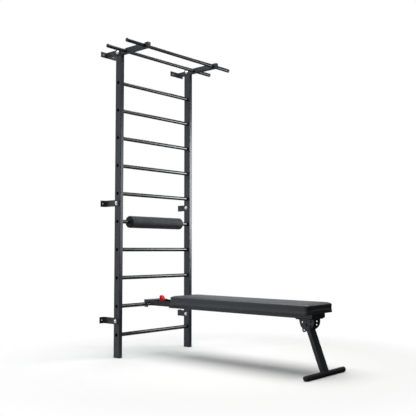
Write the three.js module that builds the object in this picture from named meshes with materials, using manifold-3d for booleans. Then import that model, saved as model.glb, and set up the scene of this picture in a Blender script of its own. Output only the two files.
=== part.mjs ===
// Steel wall bars with a pull-up frame, a foam roller and a padded bench on a folding leg.
// Millimetres. +X runs along the rungs, +Y points at the wall and +Z is up.
// The origin is on the floor, midway across the width and midway from the wall to the front of the foot bar.

import * as THREE from "three";
import { mergeVertices } from "three/addons/utils/BufferGeometryUtils.js";
import Module from "manifold-3d";

const wasm = await Module();
wasm.setup();

// Overall sizes
const overallHeight = 2200;
const ladderWidth = 750;
const wallToRungs = 132;
const wallToArmFront = 435;
const wallToFootFront = 1615;

// Clearances
const fit = 0.3;
const runningGap = 0.5;

// Least corner radius inside a rectangular tube
const innerCorner = 0.5;

// Uprights
const uprightWidth = 30;
const uprightDepth = 60;
const uprightWall = 2;
const uprightCorner = 3;

// Plastic plugs in the ends of rectangular tubes
const plugFlange = 3;
const footPlugInsert = 25;
const armPlugInsert = 14;

// Rungs, counted from the floor
const rungCount = 10;
const lowestRung = 160;
const topRungDrop = 200;
const rungDiameter = 28;
const rungWall = 2;
const rollerRung = 5;
const hookRung = 2;

// Pull-up frame
const armHeight = 40;
const armWall = 2;
const spigotLength = 80;
const spigotWall = 3;
const pullBarLength = 1080;
const pullBarDiameter = 28;
const pullBarWall = 2;
const frontBarInset = 33;
const pullBarSpacing = 200;
const barCapFlange = 5;
const barCapInsert = 16;

// Screws that hold the spigots
const screwDrops = [15, 38];
const screwDiameter = 8;
const screwReach = 14;
const screwHeadDiameter = 14;
const screwHeadHeight = 4;
const screwHeadEdge = 1.4;

// Wall brackets and their bolts
const bracketThickness = 5;
const bracketHeight = 46;
const bracketFlange = 45;
const bracketBend = 6;
const bracketLap = 18;
const flangeHoleInset = 20;
const wallHoleDiameter = 9;
const midBracketRise = 130;
const lowBracketRise = 97;
const topPlateWidth = 140;
const topPlateHoleSpacing = 90;
const boltDiameter = 10;
const boltSetback = 5;
const boltHeadDiameter = 18;
const boltHeadHeight = 6.5;
const washerDiameter = 26;
const washerThickness = 2.5;
const nutHeight = 8;
const boltTail = 3;

// Roller
const rollerLength = 527;
const rollerDiameter = 88;
const rollerRound = 9;
const rollerCoreWall = 3;

// Hook channel of the bench, measured from the axis of its rung
const channelWidth = 156;
const channelWall = 4;
const hookBridge = 18;
const hookLip = 19;
const hookRound = 10;
const jawThickness = 8.5;
const jawReach = 7;
const channelDrop = 9;
const topPlateReach = 55;
const weldDepth = 0.5;
const channelEndGap = 8;
const railLap = 56;

// Latch
const latchGap = 1.5;
const latchThickness = 5;
const latchSpare = 2;
const latchTail = 10;
const keeperWidth = 3;
const keeperThickness = 4;
const stemSetback = 145;
const stemOffset = 63.5;
const stemDiameter = 12;
const gripHeight = 41;
const gripLength = 38;
const gripWidth = 30;
const gripFlat = 12;
const gripToe = 14;
const gripRound = 3;
const gripSocketDepth = 12;

// Bench rails
const railWidth = 30;
const railHeight = 30;
const railWall = 2;
const railCorner = 2;
const railDrop = 18;
const railFrontSetback = 24;

// Pad
const padWidth = 300;
const padWallEnd = 284;
const padFrontSetback = 18;
const padThickness = 64;
const padCorner = 28;
const padEdge = 16;
const padCrown = 5;
const padCrownFlatness = 8;
const padDrawIn = 3;
const padSkirtGap = 1;
const boardThickness = 12;
const boardInset = 8;

// Leg
const pivotDrop = 58;
const legReach = 110;
const legWidth = 60;
const legDepth = 30;
const legWall = 2;
const legCorner = 3;
const legTop = 18;
const mountPlateThickness = 6;
const legPlateThickness = 5;
const sectorRadius = 56;
const sectorCentre = new THREE.Vector2(-2, 22);
const plateBackTop = 52;
const plateBackWaist = new THREE.Vector2(41, -8);
const lobeCentre = new THREE.Vector2(15, -33);
const lobeRadius = 13;
const lobeBackDegrees = 30;
const lobeFrontDegrees = -115;
const sectorLowDegrees = -105;
const plateHoleDiameter = 10;
const plateHoles = [
  new THREE.Vector2(28, 15),
  new THREE.Vector2(-35, 19),
  new THREE.Vector2(-33, -2),
];
const legBoltDiameter = 10;
const legBoltHeadDiameter = 18;
const legBoltHeadHeight = 5;
const stopBoltDrop = 25;

// Foot bar
const footDiameter = 32;
const footLength = 440;
const footWall = 2;
const footCapFlange = 6;
const footCapInsert = 18;

// Facets of round pieces
const tubeSides = 16;
const rollerSides = 24;
const boltSides = 12;
const cornerSteps = 2;
const arcSteps = 8;
const domeSteps = 3;

// Grid of the cushion: shares of its edge radius, spans between the corners and rows down the sides
const padEdgeShares = [0, 0.15, 0.5, 1];
const padSpansAcross = 4;
const padSpansAlong = 8;
const padSideRows = 4;

// Finishes
const blackSteel = { color: 0x1d1e20, roughness: 0.5, metalness: 0.55 };
const zinc = { color: 0xb9bcc0, roughness: 0.35, metalness: 0.9 };
const blackPlastic = { color: 0x151516, roughness: 0.6, metalness: 0 };
const greyFoam = { color: 0x2c2d2f, roughness: 0.95, metalness: 0 };
const blackVinyl = { color: 0x222326, roughness: 0.55, metalness: 0 };
const redPlastic = { color: 0xc8141a, roughness: 0.35, metalness: 0 };
const plywood = { color: 0x9c7a4e, roughness: 0.8, metalness: 0 };

// Places worked out from the sizes above
const wallY = wallToFootFront / 2;
const rungY = wallY - wallToRungs;
const rungRadius = rungDiameter / 2;
const uprightTop = overallHeight - armHeight;
const uprightX = (ladderWidth - uprightWidth) / 2;
const rungPitch = (uprightTop - topRungDrop - lowestRung) / (rungCount - 1);
const armCentre = overallHeight - armHeight / 2;
const armFront = wallToRungs - wallToArmFront;
const frontBarY = armFront + frontBarInset;
const rearBarY = frontBarY + pullBarSpacing;
const boltRadius = boltDiameter / 2;
const sides = [
  { name: "left", sign: -1 },
  { name: "right", sign: 1 },
];

function rungHeight(count) {
  return lowestRung + rungPitch * (count - 1);
}
const midBracketHeight = rungHeight(rollerRung) + midBracketRise;
const lowBracketHeight = rungHeight(1) + lowBracketRise;

// A closed solid from a geometry, with shared corners merged and collapsed triangles left out
function solidOf(geometry) {
  const bare = new THREE.BufferGeometry();
  bare.setAttribute("position", geometry.getAttribute("position"));
  bare.setIndex(geometry.index);
  const merged = mergeVertices(bare);
  const corners = merged.index.array;
  const kept = [];
  for (let i = 0; i < corners.length; i += 3) {
    const [a, b, c] = corners.slice(i, i + 3);
    if (a !== b && b !== c && a !== c) kept.push(a, b, c);
  }
  const triVerts = new Uint32Array(kept);
  const vertProperties = merged.getAttribute("position").array;
  return new wasm.Manifold(new wasm.Mesh({ numProp: 3, vertProperties, triVerts }));
}

function geometryOf(solid) {
  const mesh = solid.getMesh();
  const geometry = new THREE.BufferGeometry();
  geometry.setAttribute("position", new THREE.BufferAttribute(mesh.vertProperties, 3));
  geometry.setIndex(new THREE.BufferAttribute(mesh.triVerts, 1));
  return geometry;
}

function cut(body, tools) {
  let solid = solidOf(body);
  for (const tool of tools) solid = solid.subtract(solidOf(tool));
  return geometryOf(solid);
}

function join(bodies) {
  let solid = solidOf(bodies[0]);
  for (const body of bodies.slice(1)) solid = solid.add(solidOf(body));
  return geometryOf(solid);
}

function piece(parent, name, geometry, finish) {
  const mesh = new THREE.Mesh(geometry, new THREE.MeshStandardMaterial(finish));
  mesh.name = name;
  parent.add(mesh);
  return mesh;
}

function group(parent, x, y, z) {
  const made = new THREE.Group();
  made.position.set(x, y, z);
  parent.add(made);
  return made;
}

// Rectangle with round corners, centred on the origin
function roundedRectangle(width, height, corner) {
  const x = width / 2 - corner;
  const y = height / 2 - corner;
  const shape = new THREE.Shape();
  shape.absarc(x, -y, corner, -Math.PI / 2, 0);
  shape.absarc(x, y, corner, 0, Math.PI / 2);
  shape.absarc(-x, y, corner, Math.PI / 2, Math.PI);
  shape.absarc(-x, -y, corner, Math.PI, 1.5 * Math.PI);
  return shape;
}

// A shape drawn in X and Y, pushed along +Z
function extrude(shape, depth, steps = cornerSteps) {
  return new THREE.ExtrudeGeometry(shape, { depth, curveSegments: steps, bevelEnabled: false });
}

// Turns a shape so that its X is along the part's Y and its Y along the part's Z
const acrossTurn = new THREE.Matrix4().makeBasis(
  new THREE.Vector3(0, 1, 0),
  new THREE.Vector3(0, 0, 1),
  new THREE.Vector3(1, 0, 0),
);

function extrudeAcross(shape, width, steps = arcSteps) {
  return extrude(shape, width, steps).applyMatrix4(acrossTurn).translate(-width / 2, 0, 0);
}

function box(width, depth, height, x, y, z) {
  return new THREE.BoxGeometry(width, depth, height).translate(x, y, z);
}

// Rectangular tube standing on z = 0
function squareTube(width, depth, wall, corner, length) {
  const shape = roundedRectangle(width, depth, corner);
  const inner = Math.max(corner - wall, innerCorner);
  shape.holes.push(roundedRectangle(width - 2 * wall, depth - 2 * wall, inner));
  return extrude(shape, length);
}

// A profile of radius and height points, turned about Z
function turned(points, steps) {
  const profile = points.map(([radius, height]) => new THREE.Vector2(radius, height));
  return new THREE.LatheGeometry(profile, steps).rotateX(Math.PI / 2);
}

// A round rod about X, from one end to the other
function rodAcross(radius, length, steps = tubeSides) {
  const half = length / 2;
  const profile = [
    [0, -half],
    [radius, -half],
    [radius, half],
    [0, half],
  ];
  return turned(profile, steps).rotateY(Math.PI / 2);
}

// The tool for a round hole about X, twice as long as the thickness that it goes through
function drill(radius, thickness, steps = boltSides) {
  return rodAcross(radius, 2 * thickness, steps);
}

// A round tube about X, centred on the origin
function roundTube(radius, wall, length, steps = tubeSides) {
  const half = length / 2;
  const profile = [
    [radius - wall, -half],
    [radius, -half],
    [radius, half],
    [radius - wall, half],
    [radius - wall, -half],
  ];
  return turned(profile, steps).rotateY(Math.PI / 2);
}

// A plug for a rectangular tube: flange below z = 0 and insert above it
function squarePlug(width, depth, wall, corner, insertLength) {
  const flange = extrude(roundedRectangle(width, depth, corner), plugFlange).translate(0, 0, -plugFlange);
  const shrink = 2 * (wall + fit);
  const rootDepth = plugFlange / 2;
  const insertHeight = insertLength + rootDepth;
  const insert = box(width - shrink, depth - shrink, insertHeight, 0, 0, insertHeight / 2 - rootDepth);
  return join([flange, insert]);
}

// A domed cap for a round tube: its dome beyond z = 0 and its insert below
function roundCap(radius, wall, flange, insert) {
  const inner = radius - wall - fit;
  const profile = [[0, -insert], [inner, -insert], [inner, 0], [radius, 0]];
  for (let i = 1; i <= domeSteps; i++) {
    const turn = (i / domeSteps) * (Math.PI / 2);
    profile.push([i === domeSteps ? 0 : radius * Math.cos(turn), flange * Math.sin(turn)]);
  }
  return turned(profile, tubeSides);
}

// A bolt about Z with its head's underside at z = 0, its shank down to the nut and its tail beyond
function throughBolt(grip) {
  const shank = boltRadius;
  const head = boltHeadDiameter / 2;
  const washer = washerDiameter / 2;
  const nutSeat = -grip - washerThickness;
  const profile = [
    [0, nutSeat - nutHeight - boltTail],
    [shank, nutSeat - nutHeight - boltTail],
    [shank, nutSeat - nutHeight],
    [head, nutSeat - nutHeight],
    [head, nutSeat],
    [washer, nutSeat],
    [washer, -grip],
    [shank, -grip],
    [shank, 0],
    [washer, 0],
    [washer, washerThickness],
    [head, washerThickness],
    [head, washerThickness + boltHeadHeight],
    [0, washerThickness + boltHeadHeight],
  ];
  return turned(profile, boltSides);
}

const wallBars = new THREE.Group();
const ladder = group(wallBars, 0, rungY, 0);

// Uprights with their foot plugs
function uprightGeometry() {
  const bottom = plugFlange + fit;
  const tube = squareTube(uprightWidth, uprightDepth, uprightWall, uprightCorner, uprightTop - bottom);
  tube.translate(0, 0, bottom);
  const tools = [];
  for (let count = 1; count <= rungCount; count++) {
    const hole = drill(rungRadius + fit, uprightWidth, tubeSides);
    tools.push(hole.translate(0, 0, rungHeight(count)));
  }
  for (const height of [midBracketHeight, lowBracketHeight]) {
    const hole = drill(boltRadius + fit, uprightWidth);
    tools.push(hole.translate(0, boltSetback, height));
  }
  for (const drop of screwDrops) {
    tools.push(screwHole().translate(0, 0, uprightTop - drop));
  }
  return cut(tube, tools);
}

// The hole of a spigot screw, through the front walls only
function screwHole() {
  const hole = rodAcross(screwDiameter / 2 + fit, uprightDepth, boltSides).rotateZ(Math.PI / 2);
  return hole.translate(0, -uprightDepth / 2, 0);
}

for (const side of sides) {
  const place = group(ladder, side.sign * uprightX, 0, 0);
  piece(place, `upright_${side.name}`, uprightGeometry(), blackSteel);
  const plug = squarePlug(uprightWidth, uprightDepth, uprightWall, uprightCorner, footPlugInsert);
  piece(place, `upright_foot_plug_${side.name}`, plug, blackPlastic).position.z = plugFlange;
}

// Rungs
for (let count = 1; count <= rungCount; count++) {
  const name = `rung_${String(count).padStart(2, "0")}`;
  const tube = roundTube(rungRadius, rungWall, ladderWidth);
  piece(ladder, name, tube, blackSteel).position.z = rungHeight(count);
}

// Arms of the pull-up frame, each with its spigot
function armGeometry() {
  const back = uprightDepth / 2;
  const front = armFront + plugFlange + fit;
  const tube = squareTube(uprightWidth, armHeight - fit, armWall, uprightCorner, back - front);
  tube.rotateX(-Math.PI / 2).translate(0, front, armCentre + fit / 2);
  const shrink = 2 * (uprightWall + fit);
  const spigotWidth = uprightWidth - shrink;
  const spigotDepth = uprightDepth - shrink;
  const spigot = squareTube(spigotWidth, spigotDepth, spigotWall, uprightCorner, spigotLength);
  spigot.translate(0, 0, uprightTop + fit + armWall / 2 - spigotLength);
  const tools = screwDrops.map((drop) => screwHole().translate(0, 0, uprightTop - drop));
  for (const barY of [frontBarY, rearBarY]) {
    const hole = drill(pullBarDiameter / 2 + fit, uprightWidth, tubeSides);
    tools.push(hole.translate(0, barY, armCentre));
  }
  tools.push(drill(boltRadius + fit, uprightWidth).translate(0, boltSetback, armCentre));
  return cut(join([tube, spigot]), tools);
}

function screwGeometry() {
  const shank = screwDiameter / 2;
  const head = screwHeadDiameter / 2;
  const profile = [
    [0, -screwReach],
    [shank, -screwReach],
    [shank, 0],
    [head, 0],
    [head, screwHeadEdge],
    [shank, screwHeadHeight],
    [0, screwHeadHeight],
  ];
  return turned(profile, boltSides).rotateX(Math.PI / 2);
}

for (const side of sides) {
  const place = group(ladder, side.sign * uprightX, 0, 0);
  piece(place, `pull_up_arm_${side.name}`, armGeometry(), blackSteel);
  const plug = squarePlug(uprightWidth, armHeight - fit, armWall, uprightCorner, armPlugInsert);
  plug.rotateX(-Math.PI / 2);
  const seat = armFront + plugFlange;
  piece(place, `arm_end_plug_${side.name}`, plug, blackPlastic).position.set(0, seat, armCentre + fit / 2);
  screwDrops.forEach((drop, index) => {
    const screw = piece(place, `spigot_screw_${side.name}_${index + 1}`, screwGeometry(), blackPlastic);
    screw.position.set(0, -uprightDepth / 2 - fit, uprightTop - drop);
  });
}

// Pull-up bars with their end caps
const pullBars = [
  { name: "front", y: frontBarY },
  { name: "rear", y: rearBarY },
];
for (const bar of pullBars) {
  const place = group(ladder, 0, bar.y, armCentre);
  const tubeLength = pullBarLength - 2 * (barCapFlange + fit);
  const tube = roundTube(pullBarDiameter / 2, pullBarWall, tubeLength);
  piece(place, `pull_up_bar_${bar.name}`, tube, blackSteel);
  for (const side of sides) {
    const cap = roundCap(pullBarDiameter / 2, pullBarWall, barCapFlange, barCapInsert);
    cap.rotateY((side.sign * Math.PI) / 2);
    const seat = side.sign * (pullBarLength / 2 - barCapFlange);
    piece(place, `bar_cap_${bar.name}_${side.name}`, cap, blackPlastic).position.x = seat;
  }
}

// Wall brackets, drawn in plan with the upright's outer face at x = 0 and the wall beyond +Y
function angleBracket(sign) {
  const inner = fit;
  const outer = fit + bracketThickness;
  const flangeEdge = bracketFlange;
  const back = wallToRungs;
  const front = -bracketLap;
  const bend = bracketBend;
  const shape = new THREE.Shape();
  shape.moveTo(sign * inner, front);
  shape.lineTo(sign * outer, front);
  shape.lineTo(sign * outer, back - bracketThickness - bend);
  shape.quadraticCurveTo(
    sign * outer,
    back - bracketThickness,
    sign * (outer + bend),
    back - bracketThickness,
  );
  shape.lineTo(sign * flangeEdge, back - bracketThickness);
  shape.lineTo(sign * flangeEdge, back);
  shape.lineTo(sign * (outer + bend), back);
  shape.quadraticCurveTo(sign * inner, back, sign * inner, back - bracketThickness - bend);
  const plate = extrude(shape, bracketHeight).translate(0, 0, -bracketHeight / 2);
  const boltHole = bracketBoltHole().translate(0, boltSetback, 0);
  const wallHole = bracketWallHole().translate(sign * (flangeEdge - flangeHoleInset), back, 0);
  return cut(plate, [boltHole, wallHole]);
}

function bracketBoltHole() {
  return drill(boltRadius + fit, 2 * (bracketThickness + fit));
}

function bracketWallHole() {
  return drill(wallHoleDiameter / 2, 2 * bracketThickness).rotateZ(Math.PI / 2);
}

// Top bracket: a plate across the wall, centred behind the arm, and a web along the arm's outer side
function topBracket(sign) {
  const height = armHeight - fit;
  const middle = (-sign * uprightWidth) / 2;
  const plate = box(topPlateWidth, bracketThickness, height, middle, wallToRungs - bracketThickness / 2, 0);
  const webLength = wallToRungs - bracketThickness / 2 + bracketLap;
  const webX = sign * (fit + bracketThickness / 2);
  const web = box(bracketThickness, webLength, height, webX, webLength / 2 - bracketLap, 0);
  const tools = [bracketBoltHole().translate(0, boltSetback, -fit / 2)];
  for (const side of sides) {
    const holeX = middle + (side.sign * topPlateHoleSpacing) / 2;
    tools.push(bracketWallHole().translate(holeX, wallToRungs, 0));
  }
  return cut(join([plate, web]), tools);
}

const bracketLevels = [
  { name: "top", height: armCentre, rise: fit / 2, shape: topBracket },
  { name: "middle", height: midBracketHeight, rise: 0, shape: angleBracket },
  { name: "low", height: lowBracketHeight, rise: 0, shape: angleBracket },
];
for (const level of bracketLevels) {
  for (const side of sides) {
    const place = group(ladder, (side.sign * ladderWidth) / 2, 0, level.height);
    const bracket = level.shape(side.sign);
    piece(place, `wall_bracket_${level.name}_${side.name}`, bracket, blackSteel).position.z = level.rise;
    const gripped = uprightWidth + bracketThickness + 3 * fit;
    const bolt = throughBolt(gripped).rotateY((side.sign * Math.PI) / 2);
    const boltMesh = piece(place, `bracket_bolt_${level.name}_${side.name}`, bolt, zinc);
    boltMesh.position.set(side.sign * (bracketThickness + 2 * fit), boltSetback, 0);
  }
}

// Foam roller on its core tube
function foamGeometry() {
  const inner = rungRadius + runningGap + rollerCoreWall + fit;
  const outer = rollerDiameter / 2;
  const half = rollerLength / 2;
  const profile = [[inner, -half]];
  for (const side of sides) {
    const start = side.sign < 0 ? -Math.PI / 2 : 0;
    for (let i = 0; i <= cornerSteps; i++) {
      const turn = start + ((i / cornerSteps) * Math.PI) / 2;
      const reach = outer - rollerRound + rollerRound * Math.cos(turn);
      profile.push([reach, side.sign * (half - rollerRound) + rollerRound * Math.sin(turn)]);
    }
  }
  profile.push([inner, half], [inner, -half]);
  return turned(profile, rollerSides).rotateY(Math.PI / 2);
}

const roller = group(ladder, 0, 0, rungHeight(rollerRung));
const coreRadius = rungRadius + runningGap + rollerCoreWall;
piece(roller, "roller_core", roundTube(coreRadius, rollerCoreWall, rollerLength), blackPlastic);
piece(roller, "roller_foam", foamGeometry(), greyFoam);

// Bench, measured from the axis of the rung that it hooks on
const bench = group(ladder, 0, 0, rungHeight(hookRung));
const footCentreY = wallToRungs - wallToFootFront + footDiameter / 2;
const padFront = footCentreY + padFrontSetback;
const railFront = padFront + railFrontSetback;
const channelTop = rungRadius + hookBridge;
const channelBottom = -channelDrop;
const channelFront = channelEndGap - padWallEnd;
const channelInside = channelWidth / 2 - channelWall;
const hookBack = rungRadius + hookLip;
const notch = rungRadius + runningGap;
const mouthFront = -jawReach - 2 * notch - runningGap;
const jawBottom = -notch - jawThickness;
const sideTop = channelTop - channelWall;
const floorTop = channelBottom + channelWall;
const floorBack = mouthFront - channelWall;
const railBack = channelFront + railLap;
const railBottom = -railDrop;
const railTop = railBottom + railHeight;
const railX = channelInside - fit - railWidth / 2;
const latchBottom = floorTop + fit;
const latchTop = latchBottom + latchThickness;
const latchNose = -rungRadius - latchGap;
const latchEnd = -stemSetback - latchTail;
const latchTravel = latchNose - mouthFront + latchSpare;

// Side of the hook channel: a slot over the rung, closed behind and below it by a jaw.
// The rung comes in through the slot's mouth, in front of the jaw.
function hookSide(x) {
  const jawRadius = jawThickness / 2;
  const shape = new THREE.Shape();
  shape.moveTo(channelFront, channelBottom);
  shape.lineTo(mouthFront, channelBottom);
  shape.absarc(mouthFront + notch, 0, notch, Math.PI, Math.PI / 2, true);
  shape.absarc(0, 0, notch, Math.PI / 2, -Math.PI / 2, true);
  shape.absarc(jawRadius - jawReach, jawBottom + jawRadius, jawRadius, Math.PI / 2, (3 * Math.PI) / 2);
  shape.absarc(hookBack - hookRound, jawBottom + hookRound, hookRound, -Math.PI / 2, 0);
  shape.lineTo(hookBack, sideTop);
  shape.lineTo(channelFront, sideTop);
  return extrudeAcross(shape, channelWall).translate(x, 0, 0);
}

// A plate between two places along Y, with its underside at height z
function plateAlong(width, back, front, thickness, x, z) {
  return box(width, back - front, thickness, x, (back + front) / 2, z + thickness / 2);
}

// Two hook sides with a short top plate and a back plate, a floor, and keepers over the latch slide's edges
function channelGeometry() {
  const innerWidth = channelWidth - channelWall;
  const sideX = innerWidth / 2;
  const floorFront = railBack + fit;
  const keeperFront = latchEnd - latchTravel;
  const keeperX = channelInside - (keeperWidth - weldDepth) / 2;
  const backBottom = jawBottom + hookRound;
  const bodies = [
    plateAlong(channelWidth, hookBack, -topPlateReach, channelWall + weldDepth, 0, sideTop - weldDepth),
    plateAlong(innerWidth, hookBack, hookBack - channelWall, sideTop - backBottom, 0, backBottom),
    plateAlong(innerWidth, floorBack, floorFront, channelWall, 0, channelBottom),
  ];
  for (const side of sides) {
    const width = keeperWidth + weldDepth;
    const keeperZ = latchTop + runningGap;
    bodies.push(hookSide(side.sign * sideX));
    bodies.push(plateAlong(width, floorBack, keeperFront, keeperThickness, side.sign * keeperX, keeperZ));
  }
  return join(bodies);
}
piece(bench, "bench_hook_channel", channelGeometry(), blackSteel);

// Rails, closed at the front by a welded end plate, and the cross tube between their front ends
const railMiddleZ = railBottom + railHeight / 2;

function railGeometry() {
  const tube = squareTube(railWidth, railHeight, railWall, railCorner, railBack - railFront);
  const endPlate = extrude(roundedRectangle(railWidth, railHeight, railCorner), railWall);
  return join([tube, endPlate]).rotateX(-Math.PI / 2).translate(0, railFront, 0);
}

for (const side of sides) {
  const rail = piece(bench, `bench_rail_${side.name}`, railGeometry(), blackSteel);
  rail.position.set(side.sign * railX, 0, railMiddleZ);
}
const crossLength = 2 * railX - railWidth - 2 * fit;
const crossTube = squareTube(railWidth, railHeight, railWall, railCorner, crossLength);
crossTube.translate(0, 0, -crossLength / 2).rotateY(Math.PI / 2);
const cross = piece(bench, "bench_cross_tube", crossTube, blackSteel);
cross.position.set(0, railFront + railWidth / 2, railMiddleZ);

// Pad: a board on the rails inside the underside of a crowned cushion
const padLength = -padWallEnd - padFront;
const padMiddle = (-padWallEnd + padFront) / 2;
const boardWidth = padWidth - 2 * boardInset;
const boardLength = padLength - 2 * boardInset;
const boardBottom = railTop + fit;

// The board's outline, grown by a clearance, pushed up from the board's underside
function boardShape(clearance, height) {
  const width = boardWidth + 2 * clearance;
  const length = boardLength + 2 * clearance;
  const corner = Math.max(padCorner - boardInset + clearance, boardInset);
  return extrude(roundedRectangle(width, length, corner), height);
}
const board = piece(bench, "pad_board", boardShape(0, boardThickness), plywood);
board.position.set(0, padMiddle, boardBottom);

// Grid lines from one edge to the other, close together at the edges where the top turns down
function gridLines(half, spans) {
  const insets = [...padEdgeShares.map((share) => share * padEdge), padCorner];
  const near = insets.map((inset) => inset - half);
  const far = insets.map((inset) => half - inset).reverse();
  const between = [];
  for (let i = 1; i < spans; i++) {
    between.push((half - padCorner) * ((2 * i) / spans - 1));
  }
  return [...near, ...between, ...far];
}

// The point of a square-cornered grid moved to the round-cornered outline
function roundCorner(x, y, halfX, halfY) {
  const innerX = THREE.MathUtils.clamp(x, padCorner - halfX, halfX - padCorner);
  const innerY = THREE.MathUtils.clamp(y, padCorner - halfY, halfY - padCorner);
  const dx = x - innerX;
  const dy = y - innerY;
  const reach = Math.hypot(dx, dy);
  const share = reach > 0 ? Math.max(Math.abs(dx), Math.abs(dy)) / reach : 1;
  return [innerX + dx * share, innerY + dy * share];
}

// Height of the crown above the flat top
function crownAt(x, y) {
  const across = 1 - ((2 * x) / padWidth) ** 2;
  const along = 1 - ((2 * y) / padLength) ** padCrownFlatness;
  return padCrown * across * along;
}

// Crowned cushion: a grid over the top and one below, joined by rows of points that draw in down the sides
function cushionGeometry() {
  const halfX = padWidth / 2;
  const halfY = padLength / 2;
  const bottom = railTop + padSkirtGap;
  const top = railTop + padThickness - padCrown;
  const acrossLines = gridLines(halfX, padSpansAcross);
  const alongLines = gridLines(halfY, padSpansAlong);
  const columns = acrossLines.length;
  const rows = alongLines.length;
  const points = [];
  const triangles = [];
  const quad = (a, b, c, d) => triangles.push(a, b, c, a, c, d);
  for (const y of alongLines) {
    for (const x of acrossLines) {
      const inset = Math.min(halfX - Math.abs(x), halfY - Math.abs(y), padEdge);
      const drop = padEdge - Math.sqrt(padEdge ** 2 - (padEdge - inset) ** 2);
      points.push([...roundCorner(x, y, halfX, halfY), top + crownAt(x, y) - drop]);
    }
  }
  const topCount = points.length;
  for (let i = 0; i < topCount; i++) points.push([points[i][0], points[i][1], bottom]);
  for (let row = 0; row < rows - 1; row++) {
    for (let column = 0; column < columns - 1; column++) {
      const a = row * columns + column;
      quad(a, a + 1, a + columns + 1, a + columns);
      const b = topCount + a;
      quad(b, b + columns, b + columns + 1, b + 1);
    }
  }
  const rim = [];
  for (let column = 0; column < columns - 1; column++) rim.push(column);
  for (let row = 0; row < rows - 1; row++) rim.push(row * columns + columns - 1);
  for (let column = columns - 1; column > 0; column--) rim.push((rows - 1) * columns + column);
  for (let row = rows - 1; row > 0; row--) rim.push(row * columns);
  const levels = [rim];
  for (let level = 1; level < padSideRows; level++) {
    const share = level / padSideRows;
    const pull = padDrawIn * Math.sin(Math.PI * share);
    const line = rim.map((index) => {
      const [x, y, z] = points[index];
      const height = THREE.MathUtils.lerp(z, bottom, share);
      points.push([x * (1 - pull / halfX), y * (1 - pull / halfY), height]);
      return points.length - 1;
    });
    levels.push(line);
  }
  levels.push(rim.map((index) => index + topCount));
  for (let level = 0; level < padSideRows; level++) {
    const upper = levels[level];
    const lower = levels[level + 1];
    for (let i = 0; i < rim.length; i++) {
      const next = (i + 1) % rim.length;
      quad(upper[i], lower[i], lower[next], upper[next]);
    }
  }
  const geometry = new THREE.BufferGeometry();
  geometry.setAttribute("position", new THREE.Float32BufferAttribute(points.flat(), 3));
  geometry.setIndex(triangles);
  const pocketDepth = boardThickness + fit + boardBottom - bottom;
  const pocket = boardShape(fit, 2 * pocketDepth).translate(0, 0, bottom - pocketDepth);
  return cut(geometry, [pocket]);
}
piece(bench, "pad_cushion", cushionGeometry(), blackVinyl).position.y = padMiddle;

// Latch: a wide slide that closes the hook's mouth, with a stem at one side and the grip on the stem.
// The keepers hold it down as far as it is pulled, which leaves the mouth free.
const latchWidth = 2 * (channelInside - fit);
const gripBottom = sideTop + runningGap;

function latchGeometry() {
  const plate = plateAlong(latchWidth, latchNose, latchEnd, latchThickness, 0, latchBottom);
  const stemBottom = latchBottom + latchThickness / 2;
  const stemLength = gripBottom + gripSocketDepth - fit - stemBottom;
  const stem = rodAcross(stemDiameter / 2, stemLength, boltSides).rotateY(Math.PI / 2);
  return join([plate, stem.translate(-stemOffset, -stemSetback, stemBottom + stemLength / 2)]);
}

// Thumb grip: upright face towards the wall, sloping down towards the pad
function gripGeometry() {
  const wallSide = gripLength / 2;
  const shape = new THREE.Shape();
  shape.moveTo(gripRound - wallSide, gripRound);
  shape.lineTo(wallSide - gripRound, gripRound);
  shape.lineTo(wallSide - gripRound, gripHeight - gripRound);
  shape.lineTo(wallSide - gripFlat, gripHeight - gripRound);
  shape.lineTo(gripRound - wallSide, gripToe);
  const rounding = { bevelSize: gripRound, bevelThickness: gripRound, bevelSegments: 2 };
  const core = gripWidth - 2 * gripRound;
  const body = new THREE.ExtrudeGeometry(shape, { depth: core, curveSegments: 1, ...rounding });
  body.applyMatrix4(acrossTurn).translate(-core / 2, 0, 0);
  const socket = drill(stemDiameter / 2 + fit, gripSocketDepth).rotateY(Math.PI / 2);
  return cut(body, [socket]);
}

const latch = group(bench, 0, 0, 0);
piece(latch, "latch_slide", latchGeometry(), blackSteel);
const grip = piece(latch, "latch_grip", gripGeometry(), redPlastic);
grip.position.set(-stemOffset, -stemSetback, gripBottom);

// Leg fixing under the rails, measured from the leg's pivot
const pivotY = footCentreY + legReach;
const pivotZ = -pivotDrop;
const legMount = group(bench, 0, pivotY, pivotZ);
const mountTop = railBottom - pivotZ - fit;
const plateTop = mountTop - mountPlateThickness - fit;
const sectorFront = sectorCentre.x - Math.sqrt(sectorRadius ** 2 - (plateTop - sectorCentre.y) ** 2);
const mountLength = plateBackTop - sectorFront;
const mountWidth = 2 * railX + railWidth;
const mountMiddle = (plateBackTop + sectorFront) / 2;
const mountZ = mountTop - mountPlateThickness / 2;
const legDrop = rungHeight(hookRung) - pivotDrop - footDiameter / 2;
const legLean = Math.atan2(legReach, legDrop);
const legLength = Math.hypot(legReach, legDrop);
const stopForward = legDepth / 2 + legBoltDiameter / 2 + runningGap;
const stopY = -stopBoltDrop * Math.sin(legLean) - stopForward * Math.cos(legLean);
const stopZ = -stopBoltDrop * Math.cos(legLean) + stopForward * Math.sin(legLean);
const plateX = legWidth / 2 + runningGap + legPlateThickness / 2;

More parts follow.
